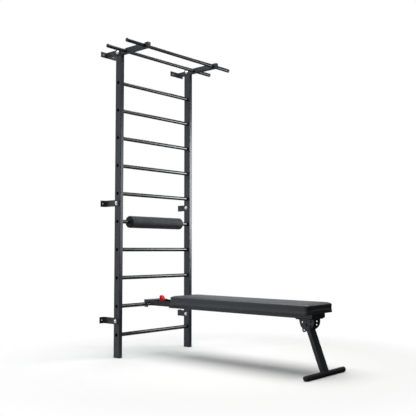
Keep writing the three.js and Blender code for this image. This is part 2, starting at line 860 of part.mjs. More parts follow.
// Leg plate: straight top and back, a lobe below and a round front
function legPlateGeometry() {
  const frontTurn = Math.atan2(plateTop - sectorCentre.y, sectorFront - sectorCentre.x) - 2 * Math.PI;
  const lowTurn = THREE.MathUtils.degToRad(sectorLowDegrees);
  const lobeBack = THREE.MathUtils.degToRad(lobeBackDegrees);
  const lobeFront = THREE.MathUtils.degToRad(lobeFrontDegrees);
  const shape = new THREE.Shape();
  shape.moveTo(plateBackTop, plateTop);
  shape.lineTo(plateBackWaist.x, plateBackWaist.y);
  shape.absarc(lobeCentre.x, lobeCentre.y, lobeRadius, lobeBack, lobeFront, true);
  shape.absarc(sectorCentre.x, sectorCentre.y, sectorRadius, lowTurn, frontTurn, true);
  const plate = extrudeAcross(shape, legPlateThickness);
  const holeAt = (diameter, y, z) => drill(diameter / 2, legPlateThickness).translate(0, y, z);
  const tools = [...plateHoles, lobeCentre].map((hole) => holeAt(plateHoleDiameter, hole.x, hole.y));
  tools.push(holeAt(legBoltDiameter + 2 * fit, 0, 0));
  tools.push(holeAt(legBoltDiameter + 2 * fit, stopY, stopZ));
  return cut(plate, tools);
}

// A bolt across the leg plates, with a low head at both ends
function legBoltGeometry() {
  const seat = plateX + legPlateThickness / 2 + fit;
  const end = seat + legBoltHeadHeight;
  const shank = legBoltDiameter / 2;
  const head = legBoltHeadDiameter / 2;
  const profile = [
    [0, -end],
    [head, -end],
    [head, -seat],
    [shank, -seat],
    [shank, seat],
    [head, seat],
    [head, end],
    [0, end],
  ];
  return turned(profile, boltSides).rotateY(Math.PI / 2);
}

const mountPlate = box(mountWidth, mountLength, mountPlateThickness, 0, mountMiddle, mountZ);
piece(legMount, "leg_mount_plate", mountPlate, blackSteel);
for (const side of sides) {
  piece(legMount, `leg_plate_${side.name}`, legPlateGeometry(), blackSteel).position.x = side.sign * plateX;
}
piece(legMount, "leg_pivot_bolt", legBoltGeometry(), blackSteel);
piece(legMount, "leg_stop_bolt", legBoltGeometry(), blackSteel).position.set(0, stopY, stopZ);

// Folding leg with its foot bar, drawn straight down from the pivot and then leaned forward
const leg = group(legMount, 0, 0, 0);
leg.rotation.x = -legLean;

function legGeometry() {
  const tube = squareTube(legWidth, legDepth, legWall, legCorner, legTop + legLength);
  tube.translate(0, 0, -legLength);
  const saddle = drill(footDiameter / 2 + fit, legWidth, tubeSides).translate(0, 0, -legLength);
  const pivot = drill(legBoltDiameter / 2 + fit, legWidth);
  return cut(tube, [saddle, pivot]);
}
piece(leg, "leg_tube", legGeometry(), blackSteel);

const foot = group(leg, 0, 0, -legLength);
const footTube = roundTube(footDiameter / 2, footWall, footLength - 2 * (footCapFlange + fit));
piece(foot, "foot_bar", footTube, blackSteel);
for (const side of sides) {
  const cap = roundCap(footDiameter / 2, footWall, footCapFlange, footCapInsert);
  cap.rotateY((side.sign * Math.PI) / 2);
  const seat = side.sign * (footLength / 2 - footCapFlange);
  piece(foot, `foot_cap_${side.name}`, cap, blackPlastic).position.x = seat;
}

export default wallBars;
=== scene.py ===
import math

import bmesh
import bpy
import numpy as np
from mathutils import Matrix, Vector
from mathutils.bvhtree import BVHTree


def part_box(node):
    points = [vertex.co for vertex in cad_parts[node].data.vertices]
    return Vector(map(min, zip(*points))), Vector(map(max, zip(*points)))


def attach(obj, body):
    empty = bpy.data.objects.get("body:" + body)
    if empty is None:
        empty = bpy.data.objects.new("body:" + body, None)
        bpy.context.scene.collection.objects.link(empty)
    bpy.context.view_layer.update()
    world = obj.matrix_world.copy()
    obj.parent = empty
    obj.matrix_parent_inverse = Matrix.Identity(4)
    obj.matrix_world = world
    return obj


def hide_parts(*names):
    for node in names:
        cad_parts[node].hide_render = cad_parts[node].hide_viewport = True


# Wall bars with a pull-up frame, a foam roller and a padded bench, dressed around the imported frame.
# Metres, in the frame's own axes: +X along the rungs, +Y at the wall, +Z up.
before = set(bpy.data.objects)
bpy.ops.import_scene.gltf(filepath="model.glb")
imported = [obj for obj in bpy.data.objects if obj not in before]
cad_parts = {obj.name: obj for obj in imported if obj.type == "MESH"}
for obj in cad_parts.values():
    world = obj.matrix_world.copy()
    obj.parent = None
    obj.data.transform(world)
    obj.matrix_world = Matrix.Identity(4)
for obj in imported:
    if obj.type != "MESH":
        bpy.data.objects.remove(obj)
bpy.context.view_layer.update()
scene = bpy.context.scene
scene.view_settings.view_transform = "Standard"
print("frame loaded with", len(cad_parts), "nodes")

sides = {"left": -1, "right": 1}
hair = 0.0003  # the gap between pieces that touch


# Mesh helpers

def quadsOf(rows, columns, loop):
    # quads between neighbouring closed rings of a grid; a loop also joins the last ring to the first
    row = np.arange(rows if loop else rows - 1)
    a, b = np.meshgrid(row, np.arange(columns), indexing="ij")
    below, beside = (a + 1) % rows, (b + 1) % columns
    corners = [a * columns + b, a * columns + beside, below * columns + beside, below * columns + b]
    return np.stack(corners, -1).reshape(-1, 4).tolist()


def skinOf(rings, loop=False):
    # closed skin over rings of points, shaped (rows, columns, 3); an open run gets a flat cap at both ends
    rows, columns = rings.shape[:2]
    faces = quadsOf(rows, columns, loop)
    if not loop:
        faces.append(list(range(columns)))
        faces.append(list(range((rows - 1) * columns, rows * columns)))
    return rings.reshape(-1, 3), faces


def stackRings(pairs):
    # rings of (x, y) pairs, each lifted to its own height
    return np.stack([np.column_stack([ring, np.full(len(ring), height)]) for ring, height in pairs])


def laid(skin, axis, at=(0, 0, 0)):
    # a skin drawn about Z, laid along another axis and moved to its place
    order = {"x": [2, 0, 1], "y": [0, 2, 1], "z": [0, 1, 2]}[axis]
    points, faces = skin
    return points[:, order] + np.asarray(at, float), faces


def meshOf(name, skins):
    points, faces, first = [], [], 0
    for skinPoints, skinFaces in skins:
        points.append(skinPoints)
        faces += [[first + corner for corner in face] for face in skinFaces]
        first += len(skinPoints)
    mesh = bpy.data.meshes.new(name)
    mesh.from_pydata(np.concatenate(points).tolist(), [], faces)
    work = bmesh.new()
    work.from_mesh(mesh)
    bmesh.ops.recalc_face_normals(work, faces=work.faces)
    work.to_mesh(mesh)
    work.free()
    return mesh


def shade(mesh, sharpAbove):
    mesh.shade_smooth()
    mesh.set_sharp_from_angle(angle=math.radians(sharpAbove))


def bakedMesh(piece):
    # the piece's mesh with its modifiers worked in
    graph = bpy.context.evaluated_depsgraph_get()
    return bpy.data.meshes.new_from_object(piece.evaluated_get(graph), depsgraph=graph)


def applyAll(piece):
    made = bakedMesh(piece)
    old = piece.data
    piece.modifiers.clear()
    piece.data = made
    bpy.data.meshes.remove(old)


def linked(name, mesh):
    piece = bpy.data.objects.new(name, mesh)
    scene.collection.objects.link(piece)
    return piece


def cutHoles(piece, tools):
    cutter = linked("cutter", meshOf("cutter", tools))
    holes = piece.modifiers.new("holes", "BOOLEAN")
    holes.object, holes.operation, holes.solver = cutter, "DIFFERENCE", "EXACT"
    applyAll(piece)
    cutterMesh = cutter.data
    bpy.data.objects.remove(cutter)
    bpy.data.meshes.remove(cutterMesh)


def clothe(piece, body, look, replaced=None):
    # the piece's material, the body that carries it and the node that it stands for
    piece.data.materials.clear()
    piece.data.materials.append(look["material"])
    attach(piece, body)
    if replaced:
        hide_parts(replaced)


def dress(name, skins, body, look, replaced, tools=None, sharpAbove=32, even=False):
    # a finished piece: its mesh with the holes cut, its shading and its finish
    piece = linked(name, meshOf(name, skins))
    if tools:
        cutHoles(piece, tools)
    shade(piece.data, sharpAbove)
    if even:
        piece.modifiers.new("evenNormals", "WEIGHTED_NORMAL").keep_sharp = True
    clothe(piece, body, look, replaced)
    return piece


def spanOf(node):
    low, high = (np.array(corner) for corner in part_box(node))
    return low, high, (low + high) / 2


# Shapes

def roundedRing(width, depth, corner, steps=6):
    # rectangle with four quarter circles at its corners, walked anticlockwise
    turn = np.arange(4)[:, None] * np.pi / 2 + np.linspace(0, np.pi / 2, steps + 1)
    signs = np.array([[1, 1], [-1, 1], [-1, -1], [1, -1]])
    centres = signs * (np.array([width, depth]) / 2 - corner)
    return (centres[:, None, :] + corner * np.stack([np.cos(turn), np.sin(turn)], -1)).reshape(-1, 2)


def boxTube(width, depth, corner, wall, length, ease=0.0005):
    # rectangular tube on z = 0: up the outer ring, over an eased rim and down again inside
    outer = roundedRing(width, depth, corner)
    rim = roundedRing(width - 2 * ease, depth - 2 * ease, corner - ease)
    inner = roundedRing(width - 2 * wall, depth - 2 * wall, max(corner - wall, ease))
    pairs = [(rim, 0), (outer, ease), (outer, length - ease), (rim, length), (inner, length), (inner, 0)]
    return skinOf(stackRings(pairs), loop=True)


def plug(width, depth, corner, flange, wall, insert, soft=0.0012):
    # tube plug on z = 0: a flange with a rounded outer rim below, and its insert above
    turn = np.linspace(0, np.pi / 2, 5)
    pairs = []
    for part in turn:
        shrink = 2 * soft * (1 - np.sin(part))
        ring = roundedRing(width - shrink, depth - shrink, corner)
        pairs.append((ring, -flange + soft * (1 - np.cos(part))))
    pairs.append((roundedRing(width, depth, corner), 0))
    shrink = 2 * (wall + hair)
    inner = roundedRing(width - shrink, depth - shrink, corner / 2)
    pairs += [(inner, 0), (inner, insert)]
    return skinOf(stackRings(pairs))


def turnedSkin(profile, count=48, loop=False):
    # profile of (height, radius) pairs carried round the Z axis
    height, radius = np.asarray(profile, float).T
    turn = np.linspace(0, 2 * np.pi, count, endpoint=False)
    lift = np.broadcast_to(height[:, None], (len(height), count))
    across = radius[:, None]
    return skinOf(np.stack([across * np.cos(turn), across * np.sin(turn), lift], -1), loop)


def pipe(length, outer, wall, ease=0.0005, count=56):
    # round tube centred on z = 0: out along the outer wall, over eased rims, back along the bore
    end, bore = length / 2, outer - wall
    profile = [(-end, bore), (-end, outer - ease), (ease - end, outer)]
    profile += [(end - ease, outer), (end, outer - ease), (end, bore)]
    return turnedSkin(profile, count, loop=True)


def rod(radius, length, count=48):
    return turnedSkin([(-length / 2, radius), (length / 2, radius)], count)


def hexReach(apothem, turn):
    # distance from the middle of a hexagon to its side, in the direction of a turn
    return apothem / np.cos((turn % (np.pi / 3)) - np.pi / 6)


def turnedHexSkin(stations, count=72):
    # turned profile of (height, radius, apothem), where a station with an apothem is cut to a hexagon
    turn = np.linspace(0, 2 * np.pi, count, endpoint=False)
    rings = []
    for height, radius, apothem in stations:
        reach = np.full(count, radius)
        if apothem:
            reach = np.minimum(reach, hexReach(apothem, turn))
        rings.append(np.stack([reach * np.cos(turn), reach * np.sin(turn), np.full(count, height)], -1))
    return skinOf(np.stack(rings))


def headStations(spec, seat, height, steps=6):
    # button head from its seat up: a straight edge, a quarter ellipse over the crown, a hexagon socket
    edge, socket, top = spec["edge"], spec["socket"], seat + height
    turn = np.linspace(0, np.pi / 2, steps)
    lift = seat + edge + (height - edge) * np.sin(turn)
    reach = spec["head"] - spec["crown"] * (1 - np.cos(turn))
    lip = 1.2 * socket  # just past the hexagon's corners
    crown = [(up, out, None) for up, out in zip(lift, reach)]
    hollow = [(top, lip, None), (top, lip, socket), (top - spec["socketDepth"], lip, socket)]
    return [(seat, spec["head"], None), *crown, *hollow]


def plate(outline, low, high, ease):
    # outline in a plane, anticlockwise, pushed from low to high with both rims eased
    edge = np.roll(outline, -1, 0) - outline
    edge /= np.linalg.norm(edge, axis=1)[:, None]
    after = np.column_stack([edge[:, 1], -edge[:, 0]])
    before = np.roll(after, 1, 0)
    lean = (before + after) / (1 + np.sum(before * after, axis=1))[:, None]
    rim = outline - ease * lean
    return skinOf(stackRings([(rim, low), (outline, low + ease), (outline, high - ease), (rim, high)]))


def flatSheet(node, corner, ease):
    # level sheet with rounded corners that fills its node's box
    low, high, middle = spanOf(node)
    outline = roundedRing(high[0] - low[0], high[1] - low[1], corner)
    return laid(plate(outline, low[2], high[2], ease), "z", (middle[0], middle[1], 0))


def arc(centre, radius, start, end, steps):
    # points of an arc from one angle to another, in degrees
    turn = np.radians(np.linspace(start, end, steps))
    return np.asarray(centre) + radius * np.column_stack([np.cos(turn), np.sin(turn)])


# Node groups shared by the finishes

def newGroup(name, inputs, outputs):
    group = bpy.data.node_groups.new(name, "ShaderNodeTree")
    for socket, kind, value in inputs:
        group.interface.new_socket(socket, in_out="INPUT", socket_type=kind).default_value = value
    for socket, kind in outputs:
        group.interface.new_socket(socket, in_out="OUTPUT", socket_type=kind)
    return group, group.nodes.new("NodeGroupInput"), group.nodes.new("NodeGroupOutput")


def noiseIn(group, scaleSocket, factor, detail, roughness):
    # noise on object coordinates, at a multiple of the group's scale
    place = group.nodes.new("ShaderNodeTexCoord")
    times = group.nodes.new("ShaderNodeMath")
    times.operation = "MULTIPLY"
    times.inputs[1].default_value = factor
    noise = group.nodes.new("ShaderNodeTexNoise")
    noise.inputs["Detail"].default_value = detail
    noise.inputs["Roughness"].default_value = roughness
    group.links.new(scaleSocket, times.inputs[0])
    group.links.new(place.outputs["Object"], noise.inputs["Vector"])
    group.links.new(times.outputs[0], noise.inputs["Scale"])
    return noise.outputs["Fac"]


def makeToneGroup():
    # two close tones that drift into each other over the surface
    group, source, result = newGroup(
        "driftingTone",
        [("Dark", "NodeSocketColor", (0, 0, 0, 1)), ("Light", "NodeSocketColor", (1, 1, 1, 1)),
         ("Scale", "NodeSocketFloat", 5.0)],
        [("Color", "NodeSocketColor")],
    )
    broad = noiseIn(group, source.outputs["Scale"], factor=1.0, detail=4.0, roughness=0.55)
    mix = group.nodes.new("ShaderNodeMix")
    mix.data_type = "RGBA"
    group.links.new(broad, mix.inputs["Factor"])
    group.links.new(source.outputs["Dark"], mix.inputs["A"])
    group.links.new(source.outputs["Light"], mix.inputs["B"])
    group.links.new(mix.outputs["Result"], result.inputs["Color"])
    return group


sheenSpec = {"fineShare": 0.4, "least": 0.3, "most": 0.7}  # the noise between these two spans the gloss


def makeSheenGroup():
    # roughness that varies between two values, broad smudges and fine speckle together
    group, source, result = newGroup(
        "unevenGloss",
        [("Smooth", "NodeSocketFloat", 0.4), ("Rough", "NodeSocketFloat", 0.5),
         ("Scale", "NodeSocketFloat", 9.0)],
        [("Roughness", "NodeSocketFloat")],
    )
    broad = noiseIn(group, source.outputs["Scale"], factor=1.0, detail=3.0, roughness=0.5)
    fine = noiseIn(group, source.outputs["Scale"], factor=40.0, detail=2.0, roughness=0.6)
    blend = group.nodes.new("ShaderNodeMix")
    blend.data_type = "FLOAT"
    blend.inputs["Factor"].default_value = sheenSpec["fineShare"]
    spread = group.nodes.new("ShaderNodeMapRange")
    spread.inputs["From Min"].default_value = sheenSpec["least"]
    spread.inputs["From Max"].default_value = sheenSpec["most"]
    group.links.new(broad, blend.inputs["A"])
    group.links.new(fine, blend.inputs["B"])
    group.links.new(blend.outputs["Result"], spread.inputs["Value"])
    group.links.new(source.outputs["Smooth"], spread.inputs["To Min"])
    group.links.new(source.outputs["Rough"], spread.inputs["To Max"])
    group.links.new(spread.outputs["Result"], result.inputs["Roughness"])
    return group


def makePeelGroup():
    # fine unevenness of a coat or a moulded skin: soft dimples with a finer grain over them
    group, source, result = newGroup(
        "fineDimples",
        [("Scale", "NodeSocketFloat", 900.0), ("Grain", "NodeSocketFloat", 0.3)],
        [("Height", "NodeSocketFloat")],
    )
    dimple = noiseIn(group, source.outputs["Scale"], factor=1.0, detail=1.0, roughness=0.4)
    grain = noiseIn(group, source.outputs["Scale"], factor=3.1, detail=3.0, roughness=0.6)
    mix = group.nodes.new("ShaderNodeMix")
    mix.data_type = "FLOAT"
    group.links.new(source.outputs["Grain"], mix.inputs["Factor"])
    group.links.new(dimple, mix.inputs["A"])
    group.links.new(grain, mix.inputs["B"])
    group.links.new(mix.outputs["Result"], result.inputs["Height"])
    return group


toneGroup, sheenGroup, peelGroup = makeToneGroup(), makeSheenGroup(), makePeelGroup()


def placeGroup(material, group, **values):
    node = material.node_tree.nodes.new("ShaderNodeGroup")
    node.node_tree = group
    for socket, value in values.items():
        node.inputs[socket].default_value = value
    return node


def newFinish(spec):
    # a finish from its tones, gloss and grain, with its own constants set straight on the shader
    material = bpy.data.materials.new(spec["name"])
    material.use_nodes = True
    nodes, links = material.node_tree.nodes, material.node_tree.links
    shader = nodes["Principled BSDF"]
    for socket, value in spec.get("shader", {}).items():
        shader.inputs[socket].default_value = value
    dark, light = (*spec["dark"], 1), (*spec["light"], 1)
    smooth, rough = spec["gloss"]
    tone = placeGroup(material, toneGroup, Dark=dark, Light=light, Scale=spec["drift"])
    gloss = placeGroup(material, sheenGroup, Smooth=smooth, Rough=rough, Scale=spec["smudge"])
    bump = nodes.new("ShaderNodeBump")
    bump.inputs["Strength"].default_value, bump.inputs["Distance"].default_value = spec["bump"]
    peel = placeGroup(material, peelGroup, Scale=spec["dimple"], Grain=spec["grain"])
    links.new(tone.outputs["Color"], shader.inputs["Base Color"])
    links.new(gloss.outputs["Roughness"], shader.inputs["Roughness"])
    links.new(peel.outputs["Height"], bump.inputs["Height"])
    links.new(bump.outputs["Normal"], shader.inputs["Normal"])
    return {"material": material, "slot": spec["slot"], "shader": shader, "bump": bump,
            "tone": tone, "peel": peel}


blackSteel = newFinish({
    "name": "satinBlackCoat", "slot": "black_steel",
    "dark": (0.0076, 0.0083, 0.0116), "light": (0.0132, 0.0142, 0.0192), "drift": 7.0,
    "gloss": (0.34, 0.44), "smudge": 8.0, "dimple": 950.0, "grain": 0.35, "bump": (0.30, 0.0002),
    "shader": {"IOR": 1.5},
})
# the uprights' black coat for the rungs and bars: glossier, and with its base colour darkened as painted
# shade
barSteel = newFinish({
    "name": "shadedGlossBlackCoat", "slot": "black_steel",
    "dark": (0.0048, 0.0053, 0.0070), "light": (0.0086, 0.0093, 0.0120), "drift": 7.0,
    "gloss": (0.20, 0.29), "smudge": 8.0, "dimple": 950.0, "grain": 0.20, "bump": (0.08, 0.0002),
    "shader": {"IOR": 1.5},
})
rubberCoat = newFinish({
    "name": "dullRubberCoat", "slot": "black_steel",
    "dark": (0.0070, 0.0072, 0.0078), "light": (0.0130, 0.0133, 0.0142), "drift": 30.0,
    "gloss": (0.52, 0.72), "smudge": 24.0, "dimple": 420.0, "grain": 0.5, "bump": (0.5, 0.0005),
    "shader": {"IOR": 1.38},
})
zinc = newFinish({
    "name": "zincPlate", "slot": "zinc",
    "dark": (0.74, 0.76, 0.78), "light": (0.90, 0.91, 0.92), "drift": 160.0,
    "gloss": (0.24, 0.36), "smudge": 90.0, "dimple": 1600.0, "grain": 0.6, "bump": (0.15, 0.0001),
    "shader": {"Metallic": 1.0},
})
blackPlastic = newFinish({
    "name": "mouldedBlack", "slot": "black_plastic",
    "dark": (0.0070, 0.0070, 0.0074), "light": (0.0130, 0.0130, 0.0136), "drift": 40.0,
    "gloss": (0.38, 0.50), "smudge": 30.0, "dimple": 1400.0, "grain": 0.5, "bump": (0.25, 0.00015),
    "shader": {"IOR": 1.48},
})
greyFoam = newFinish({
    "name": "rollerFoam", "slot": "grey_foam",
    "dark": (0.0060, 0.0061, 0.0086), "light": (0.0112, 0.0113, 0.0156), "drift": 26.0,
    "gloss": (0.62, 0.78), "smudge": 20.0, "dimple": 620.0, "grain": 0.55, "bump": (0.55, 0.0005),
    "shader": {"IOR": 1.42, "Sheen Weight": 0.02, "Sheen Roughness": 0.6},
})
redPlastic = newFinish({
    "name": "gripRed", "slot": "red_plastic",
    "dark": (0.45, 0.002, 0.004), "light": (0.55, 0.004, 0.007), "drift": 60.0,
    "gloss": (0.42, 0.54), "smudge": 60.0, "dimple": 1500.0, "grain": 0.4, "bump": (0.15, 0.0001),
    "shader": {"IOR": 1.5, "Specular IOR Level": 0.2},
})


vinylSpec = {"cells": 520.0, "crease": 0.18, "dimples": 0.35}
plySpec = {"stretch": (38.0, 2.2, 38.0), "grain": 4.0, "detail": 6.0, "depth": 0.55, "ramp": (0.35, 0.68),
           "streak": (0.42, 0.33, 0.24)}


def makeVinyl():
    # black upholstery vinyl: pressed leather cells with creases between them, over the shared dimples
    look = newFinish({
        "name": "padVinyl", "slot": "black_vinyl",
        "dark": (0.0120, 0.0124, 0.0145), "light": (0.0190, 0.0194, 0.0220), "drift": 9.0,
        "gloss": (0.32, 0.44), "smudge": 12.0, "dimple": 1500.0, "grain": 0.5, "bump": (0.45, 0.0004),
        "shader": {"IOR": 1.5, "Sheen Weight": 0.05},
    })
    nodes, links = look["material"].node_tree.nodes, look["material"].node_tree.links
    place = nodes.new("ShaderNodeTexCoord")
    cells = nodes.new("ShaderNodeTexVoronoi")
    cells.feature = "DISTANCE_TO_EDGE"
    cells.inputs["Scale"].default_value = vinylSpec["cells"]
    crease = nodes.new("ShaderNodeMapRange")
    crease.inputs["From Max"].default_value = vinylSpec["crease"]
    join = nodes.new("ShaderNodeMath")
    join.operation = "MULTIPLY_ADD"
    join.inputs[1].default_value = vinylSpec["dimples"]
    links.new(place.outputs["Object"], cells.inputs["Vector"])
    links.new(cells.outputs["Distance"], crease.inputs["Value"])
    links.new(look["peel"].outputs["Height"], join.inputs[0])
    links.new(crease.outputs["Result"], join.inputs[2])
    links.new(join.outputs[0], look["bump"].inputs["Height"])
    return look


def makePlywood():
    # plywood face: grain stretched along the board, drawn through the shared tone
    look = newFinish({
        "name": "padPlywood", "slot": "plywood",
        "dark": (0.20, 0.12, 0.055), "light": (0.40, 0.27, 0.145), "drift": 3.0,
        "gloss": (0.62, 0.76), "smudge": 14.0, "dimple": 700.0, "grain": 0.6, "bump": (0.3, 0.0003),
    })
    nodes, links = look["material"].node_tree.nodes, look["material"].node_tree.links
    place = nodes.new("ShaderNodeTexCoord")
    stretch = nodes.new("ShaderNodeMapping")
    stretch.inputs["Scale"].default_value = plySpec["stretch"]
    grain = nodes.new("ShaderNodeTexNoise")
    grain.inputs["Scale"].default_value = plySpec["grain"]
    grain.inputs["Detail"].default_value = plySpec["detail"]
    tint = nodes.new("ShaderNodeMix")
    tint.data_type, tint.blend_type = "RGBA", "MULTIPLY"
    tint.inputs["Factor"].default_value = plySpec["depth"]
    streaks = nodes.new("ShaderNodeValToRGB")
    ends = streaks.color_ramp.elements
    ends[0].position, ends[1].position = plySpec["ramp"]
    ends[0].color = (*plySpec["streak"], 1)
    links.new(place.outputs["Object"], stretch.inputs["Vector"])
    links.new(stretch.outputs["Vector"], grain.inputs["Vector"])
    links.new(grain.outputs["Fac"], streaks.inputs["Fac"])
    links.new(look["tone"].outputs["Color"], tint.inputs["A"])
    links.new(streaks.outputs["Color"], tint.inputs["B"])
    links.new(tint.outputs["Result"], look["shader"].inputs["Base Color"])
    return look


blackVinyl, plywood = makeVinyl(), makePlywood()
print("finishes made")


# Rungs: round tubes with open ends, flush with the uprights' outer faces

rungSpec = {"count": 10, "wall": 0.002}


def tubeAcross(node, wall, body, look, name):
    low, high, middle = spanOf(node)
    skin = laid(pipe(high[0] - low[0], (high[2] - low[2]) / 2, wall), "x", middle)
    return dress(name, [skin], body, look, node)


rungNames = [f"rung_{count + 1:02d}" for count in range(rungSpec["count"])]
for node in rungNames:
    tubeAcross(node, rungSpec["wall"], "frame", barSteel, f"{node}_tube")
print("rungs made:", len(rungNames))


# Uprights: rectangular tubes with holes for the rungs, the bracket bolts and the spigot screws

uprightSpec = {"corner": 0.0035, "wall": 0.002, "rungHole": 0.0143, "boltHole": 0.0053, "screwHole": 0.0043,
               "plugInsert": 0.02}
levels = ["top", "middle", "low"]


def drillX(radius, length, at):
    return laid(rod(radius, length), "x", at)


def drillY(radius, length, at):
    return laid(rod(radius, length), "y", at)


def makeUpright(side):
    low, high, middle = spanOf(f"upright_{side}")
    width, depth, length = high - low
    tube = boxTube(width, depth, uprightSpec["corner"], uprightSpec["wall"], length)
    tools = []
    for node in rungNames:
        at = spanOf(node)[2]
        tools.append(drillX(uprightSpec["rungHole"], 2 * width, (middle[0], at[1], at[2])))
    for level in levels[1:]:
        at = spanOf(f"bracket_bolt_{level}_{side}")[2]
        tools.append(drillX(uprightSpec["boltHole"], 2 * width, (middle[0], at[1], at[2])))
    for count in (1, 2):
        at = spanOf(f"spigot_screw_{side}_{count}")[2]
        tools.append(drillY(uprightSpec["screwHole"], depth, (at[0], low[1], at[2])))
    skin = laid(tube, "z", (middle[0], middle[1], low[2]))
    dress(f"upright_{side}_tube", [skin], "frame", blackSteel, f"upright_{side}", tools, even=True)


def makeFootPlug(side):
    s = uprightSpec
    low, high, middle = spanOf(f"upright_foot_plug_{side}")
    foot = spanOf(f"upright_{side}")[0][2] - hair - low[2]
    skin = plug(high[0] - low[0], high[1] - low[1], s["corner"], foot, s["wall"], s["plugInsert"])
    place = laid(skin, "z", (middle[0], middle[1], low[2] + foot))
    dress(f"foot_plug_{side}_cap", [place], "frame", blackPlastic, f"upright_foot_plug_{side}")


for side in sides:
    makeUpright(side)
    makeFootPlug(side)
print("uprights made")


# Pull-up frame: arms with their front plugs, two bars with domed caps, and the spigot screws

armSpec = {"corner": 0.0035, "wall": 0.002, "barHole": 0.0143, "plugFlange": 0.003, "plugInsert": 0.012}
barSpec = {"wall": 0.002, "capInsert": 0.014, "capRound": 0.0035}
capSpec = {"edgeShare": 0.75, "tip": 0.03}  # shares of the rounding's height and of the crown's radius
screwSpec = {"head": 0.007, "edge": 0.0012, "crown": 0.003816, "socket": 0.0024, "socketDepth": 0.0022,
             "shank": 0.004, "reach": 0.012}


def makeArm(side):
    s = armSpec
    armLow, armHigh, _ = spanOf(f"pull_up_arm_{side}")
    plugLow, plugHigh, plugMiddle = spanOf(f"arm_end_plug_{side}")
    width, height = plugHigh[0] - plugLow[0], plugHigh[2] - plugLow[2]
    tube = boxTube(width, height, s["corner"], s["wall"], armHigh[1] - armLow[1])
    tools = []
    for bar in ("front", "rear"):
        at = spanOf(f"pull_up_bar_{bar}")[2]
        tools.append(drillX(s["barHole"], 2 * width, (plugMiddle[0], at[1], at[2])))
    at = spanOf(f"bracket_bolt_top_{side}")[2]
    tools.append(drillX(uprightSpec["boltHole"], 2 * width, (plugMiddle[0], at[1], at[2])))
    skin = laid(tube, "y", (plugMiddle[0], armLow[1], plugMiddle[2]))
    dress(f"arm_{side}_tube", [skin], "frame", blackSteel, f"pull_up_arm_{side}", tools, even=True)
    front = plug(width, height, s["corner"], s["plugFlange"], s["wall"], s["plugInsert"])
    place = laid(front, "y", (plugMiddle[0], plugLow[1] + s["plugFlange"], plugMiddle[2]))
    dress(f"arm_{side}_plug", [place], "frame", blackPlastic, f"arm_end_plug_{side}")


def domedCap(radius, flange, wall, insert, soft):
    # cap on a tube's end at z = 0: its insert below, a short wall and a crown that curves in to the middle
    turn = np.linspace(0, np.pi / 2, 7)[1:]
    inner, top = radius - wall - hair, radius - soft
    edgeRise = capSpec["edgeShare"] * soft
    rim = [(flange - soft + edgeRise * np.sin(t), radius - soft * (1 - np.cos(t))) for t in turn]
    shares = np.linspace(1, capSpec["tip"], 6)[1:]
    dome = [(flange - (soft - edgeRise) * share ** 2, top * share) for share in shares]
    return turnedSkin([(-insert, inner), (0, inner), (0, radius), *rim, *dome])


def makeCap(node, tubeNode, body, sign, name, insert, soft):
    low, high, middle = spanOf(node)
    tubeLow, tubeHigh, _ = spanOf(tubeNode)
    outer = (tubeHigh[2] - tubeLow[2]) / 2
    end = tubeHigh[0] + hair if sign > 0 else tubeLow[0] - hair
    flange = high[0] - end if sign > 0 else end - low[0]
    points, faces = laid(domedCap(outer, flange, barSpec["wall"], insert, soft), "x")
    points = points * np.array([sign, 1, 1]) + np.array([end, middle[1], middle[2]])
    dress(name, [(points, faces)], body, blackPlastic, node)


def makeBar(bar):
    node = f"pull_up_bar_{bar}"
    tubeAcross(node, barSpec["wall"], "frame", barSteel, f"{node}_tube")
    for side, sign in sides.items():
        name = f"bar_cap_{bar}_{side}"
        makeCap(name, node, "frame", sign, f"{name}_dome", barSpec["capInsert"], barSpec["capRound"])


def makeScrew(side, count):
    # button-head screw that stands out of the upright's front face
    node, s = f"spigot_screw_{side}_{count}", screwSpec
    low, _, middle = spanOf(node)
    face = spanOf(f"upright_{side}")[0][1] - hair
    shank = [(-s["reach"], s["shank"], None), (0, s["shank"], None)]
    points, faces = turnedHexSkin(shank + headStations(s, 0, face - low[1]))
    spun = points[:, [0, 2, 1]] * np.array([1, -1, 1]) + np.array([middle[0], face, middle[2]])
    dress(f"{node}_button", [(spun, faces)], "frame", blackPlastic, node)


for side in sides:
    makeArm(side)
    makeScrew(side, 1)
    makeScrew(side, 2)
for bar in ("front", "rear"):
    makeBar(bar)
print("pull-up frame made")


# Wall brackets and their bolts

bracketSpec = {"thickness": 0.005, "bend": 0.006, "ease": 0.0006, "wallHole": 0.0045, "holeInset": 0.02,
               "topHoles": 0.09}
boltSpec = {"washer": 0.013, "washerThick": 0.0025, "head": 0.009, "headHeight": 0.0065, "socket": 0.0036,
            "socketDepth": 0.004, "shank": 0.005, "nut": 0.0078, "nutHeight": 0.008, "edge": 0.0015,
            "crown": 0.004212}


def mirroredPlan(outline, sign):
    # plan drawn for the right side, turned over for the left with its walking direction kept
    return outline if sign > 0 else (outline * np.array([-1, 1]))[::-1]


